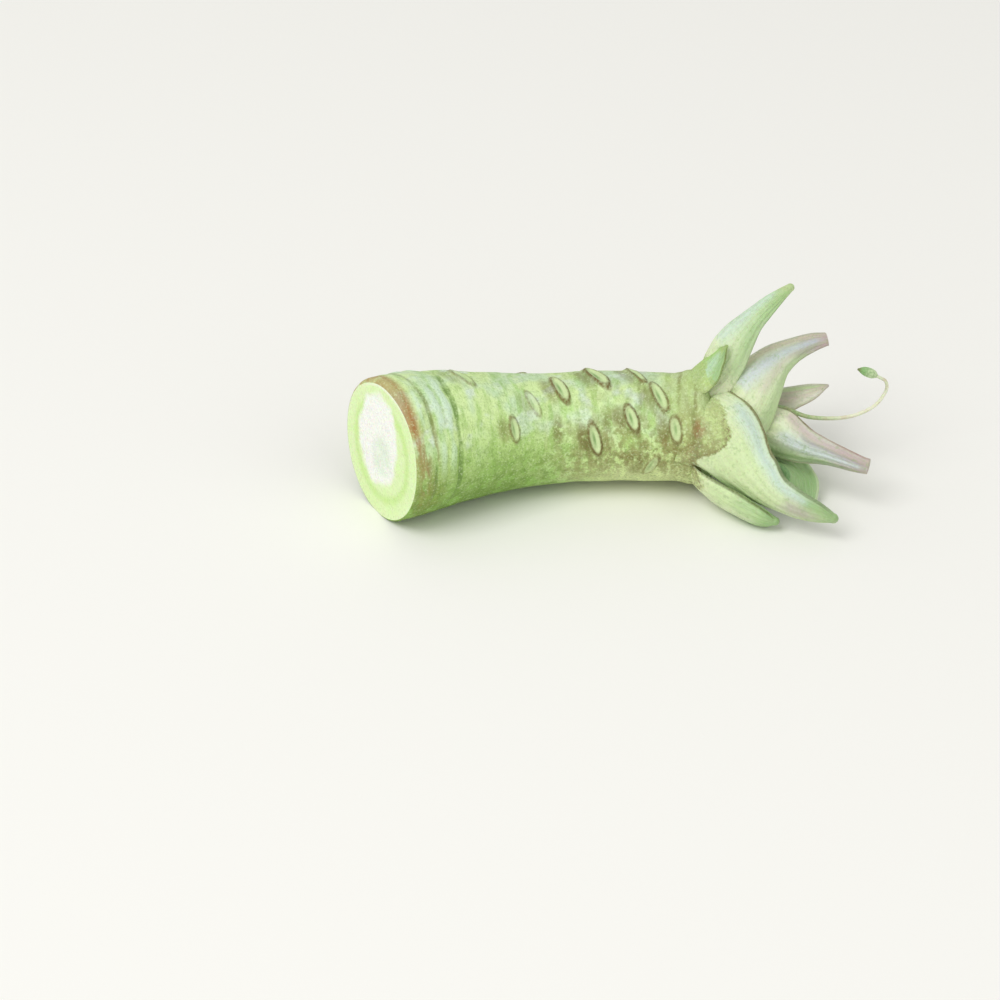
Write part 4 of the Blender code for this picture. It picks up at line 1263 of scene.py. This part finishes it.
def young_blade_material(looks):
    """A young leaf blade, still folded: soft and matt, dark at its point and paler where its stalk begins."""
    material, tree = new_material("young blade, folded and matt")
    share, across = (
        add_node(tree, "Attribute", output="Fac", attribute_name=label) for label in ("share", "across")
    )
    spots = partial(patches, add_node(tree, "TexCoord", output="Object"))
    veins = add_node(tree, "Math", [product(across, 16.0)], operation="COSINE")
    veins = add_node(tree, "MapRange", [veins, 0.4, 1.0])
    swayed = total(share, graded(spots(1.2, 0.2, 0.8, 2, 4), -0.15, 0.15))
    layers = [
        (looks.blade_base[:], add_node(tree, "MapRange", [swayed, 0.75, 0.4], **SMOOTH)),
        ("#7fa868", spots(0.5, 0.45, 0.62, 3, 1), 0.6),
        ("#c8ddb0", veins, 0.35),
        ("#857d4e", add_node(tree, "MapRange", [share, 0.85, 1.0]), 0.7),
    ]
    relief = total(product(veins, 0.05), product(spots(0.3, 0.2, 0.8, 3, 2), 0.04))
    settings = {"IOR": 1.42, "Specular IOR Level": 0.35}
    finished(painted(looks.blade[:], layers), relief, settings, 0.55)
    return material


def shown(name, data):
    """A new object of this data, in the scene."""
    thing = bpy.data.objects.new(name, data)
    bpy.context.scene.collection.objects.link(thing)
    return thing


def grow_piece(node, mesh, tree, values):
    """Shows what a Geometry Nodes tree makes of a mesh in place of a CAD node, on the root's one body.

    values are the tree's named inputs.
    """
    name = node + "_visual"
    holder = shown(name, mesh)
    modifier = holder.modifiers.new(tree.name, "NODES")
    modifier.node_group = tree
    for item in tree.interface.items_tree:
        if item.item_type == "SOCKET" and item.in_out == "INPUT" and item.name in values:
            modifier[item.identifier] = values[item.name]
    depsgraph = bpy.context.evaluated_depsgraph_get()
    plain = bpy.data.meshes.new_from_object(
        holder.evaluated_get(depsgraph), preserve_all_data_layers=True, depsgraph=depsgraph
    )
    holder.modifiers.remove(modifier)
    bpy.data.objects.remove(holder)
    if not plain.polygons:
        raise RuntimeError(f"the tree {tree.name} made no surface for {name}")
    plain.name = name
    piece = shown(name, plain)
    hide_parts(node)
    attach(piece, "root")


class WASABI_OT_rhizome(bpy.types.Operator):
    """Build the rhizome with its ring ridges, leaf scars and cut face"""

    bl_idname = "wasabi.rhizome"
    bl_label = "Build Rhizome"

    def execute(self, context):
        looks = context.scene.wasabi_root.rhizome
        scars = shown("leaf_scars", scar_points())
        values = {
            "Scars": scars,
            "Scar Height": looks.scar_height,
            "Ring Height": looks.ring_height,
            "Lump Height": looks.lump_height,
            "Seed": 4.0,
            "Skin": rhizome_skin_material(looks),
            "Flesh": flesh_material(looks, to_metres(CUT_POINT), CUT_RADIUS * MM),
        }
        grow_piece("rhizome", rhizome_mesh(), rhizome_tree(), values)
        bpy.data.objects.remove(scars)
        return {"FINISHED"}


class WASABI_OT_leaf_stalks(bpy.types.Operator):
    """Build the ten leaf stalks of the crown"""

    bl_idname = "wasabi.leaf_stalks"
    bl_label = "Build Leaf Stalks"

    def execute(self, context):
        settings = context.scene.wasabi_root
        tree = stalk_tree()
        for seed, (name, rows) in enumerate(STALKS.items()):
            mesh = stalk_mesh(name, rows, STALK_RINGS, STALK_SIDES, name in CUT_TIPS)
            values = {
                "Rib Count": 7.0,
                "Rib Height": settings.stalks.rib_height,
                "Unevenness": settings.stalks.unevenness,
                "Seed": float(seed),
                "Skin": stalk_material(name, settings.stalks, settings.rhizome),
            }
            grow_piece(name, mesh, tree, values)
        return {"FINISHED"}


class WASABI_OT_young_leaf(bpy.types.Operator):
    """Build the young leaf's thin stalk and its folded blade"""

    bl_idname = "wasabi.young_leaf"
    bl_label = "Build Young Leaf"

    def execute(self, context):
        looks = context.scene.wasabi_root.young_leaf
        course = [crown_point(*row) for row in through(YOUNG_STALK_ROUTE, YOUNG_STALK_STEPS)]
        path = bpy.data.meshes.new("young_stalk_path")
        path.from_pydata(to_metres(course).tolist(), [(i, i + 1) for i in range(len(course) - 1)], [])
        values = {"Radius": looks.thickness / 2, "Skin": young_stalk_material(looks)}
        grow_piece("young_leaf_stalk", path, young_stalk_tree(), values)
        bud = stalk_mesh("young_leaf_bud", BUD_ROWS, BUD_RINGS, BUD_SIDES, False)
        values = {
            "Rib Count": 3.0,
            "Rib Height": 0.06 * MM,
            "Unevenness": 0.3 * MM,
            "Seed": 20.0,
            "Skin": young_blade_material(looks),
        }
        grow_piece("young_leaf_bud", bud, stalk_tree(), values)
        return {"FINISHED"}


class WASABI_OT_stage(bpy.types.Operator):
    """Set up the plain floor, the soft lights and the camera"""

    bl_idname = "wasabi.stage"
    bl_label = "Set Up Stage"

    def execute(self, context):
        scene = context.scene
        looks = scene.wasabi_root.stage
        mesh = bpy.data.meshes.new("floor")
        corners = [(x * FLOOR_REACH, y * FLOOR_REACH, 0) for x, y in ((-1, -1), (1, -1), (1, 1), (-1, 1))]
        mesh.from_pydata(corners, [], [(0, 1, 2, 3)])
        floor = shown("floor", mesh)
        material, tree = new_material("matt paper")
        inputs = {"Base Color": looks.floor[:], "Roughness": 0.9, "Specular IOR Level": 0.1}
        add_node(tree, "OutputMaterial", {"Surface": add_node(tree, "BsdfPrincipled", inputs)})
        mesh.materials.append(material)

        world = bpy.data.worlds.new("soft surround")
        world.use_nodes = True
        world.node_tree.nodes.clear()
        glow = add_node(world.node_tree, "Background", {"Color": looks.surround[:], "Strength": 0.6})
        add_node(world.node_tree, "OutputWorld", {"Surface": glow})
        scene.world = world

        for label, (strength, width, place) in LIGHTS.items():
            light = bpy.data.lights.new(label, "AREA")
            light.energy = strength * looks.key_power
            light.size = width
            lamp = shown(label, light)
            lamp.location = place
            lamp.rotation_euler = (-Vector(place)).to_track_quat("-Z", "Y").to_euler()

        lens = bpy.data.cameras.new("camera")
        lens.lens = CAMERA_LENS
        lens.sensor_width = CAMERA_SENSOR
        lens.clip_start = 0.01
        camera = shown("camera", lens)
        azimuth, elevation = math.radians(CAMERA_AZIMUTH), math.radians(CAMERA_ELEVATION)
        level = math.cos(elevation)
        back = Vector((math.sin(azimuth) * level, -math.cos(azimuth) * level, math.sin(elevation)))
        camera.location = Vector(to_metres(CAMERA_AIM)) + back * CAMERA_DISTANCE * MM
        camera.rotation_euler = (-back).to_track_quat("-Z", "Y").to_euler()
        scene.camera = camera
        scene.view_settings.view_transform = "Standard"
        return {"FINISHED"}


class WASABI_PT_panel(bpy.types.Panel):
    """Settings and steps of the wasabi root"""

    bl_idname = "WASABI_PT_panel"
    bl_label = "Wasabi Root"
    bl_space_type = "VIEW_3D"
    bl_region_type = "UI"
    bl_category = "Wasabi"

    def draw(self, context):
        settings = context.scene.wasabi_root
        for label, operator in STEPS:
            box = self.layout.box()
            group = getattr(settings, label)
            for key in group.bl_rna.properties.keys():
                if key not in ("rna_type", "name"):
                    box.prop(group, key)
            box.operator(operator.bl_idname)


STEPS = (
    ("rhizome", WASABI_OT_rhizome),
    ("stalks", WASABI_OT_leaf_stalks),
    ("young_leaf", WASABI_OT_young_leaf),
    ("stage", WASABI_OT_stage),
)
CLASSES = (
    RhizomeSettings,
    StalkSettings,
    YoungLeafSettings,
    StageSettings,
    WasabiSettings,
    *(operator for _, operator in STEPS),
    WASABI_PT_panel,
)


def register():
    for kind in CLASSES:
        bpy.utils.register_class(kind)
    bpy.types.Scene.wasabi_root = bpy.props.PointerProperty(type=WasabiSettings)


def unregister():
    del bpy.types.Scene.wasabi_root
    for kind in reversed(CLASSES):
        bpy.utils.unregister_class(kind)


def main():
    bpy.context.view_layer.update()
    register()
    bpy.ops.wasabi.rhizome()
    bpy.ops.wasabi.leaf_stalks()
    bpy.ops.wasabi.young_leaf()
    bpy.ops.wasabi.stage()


if __name__ == "__main__":
    main()
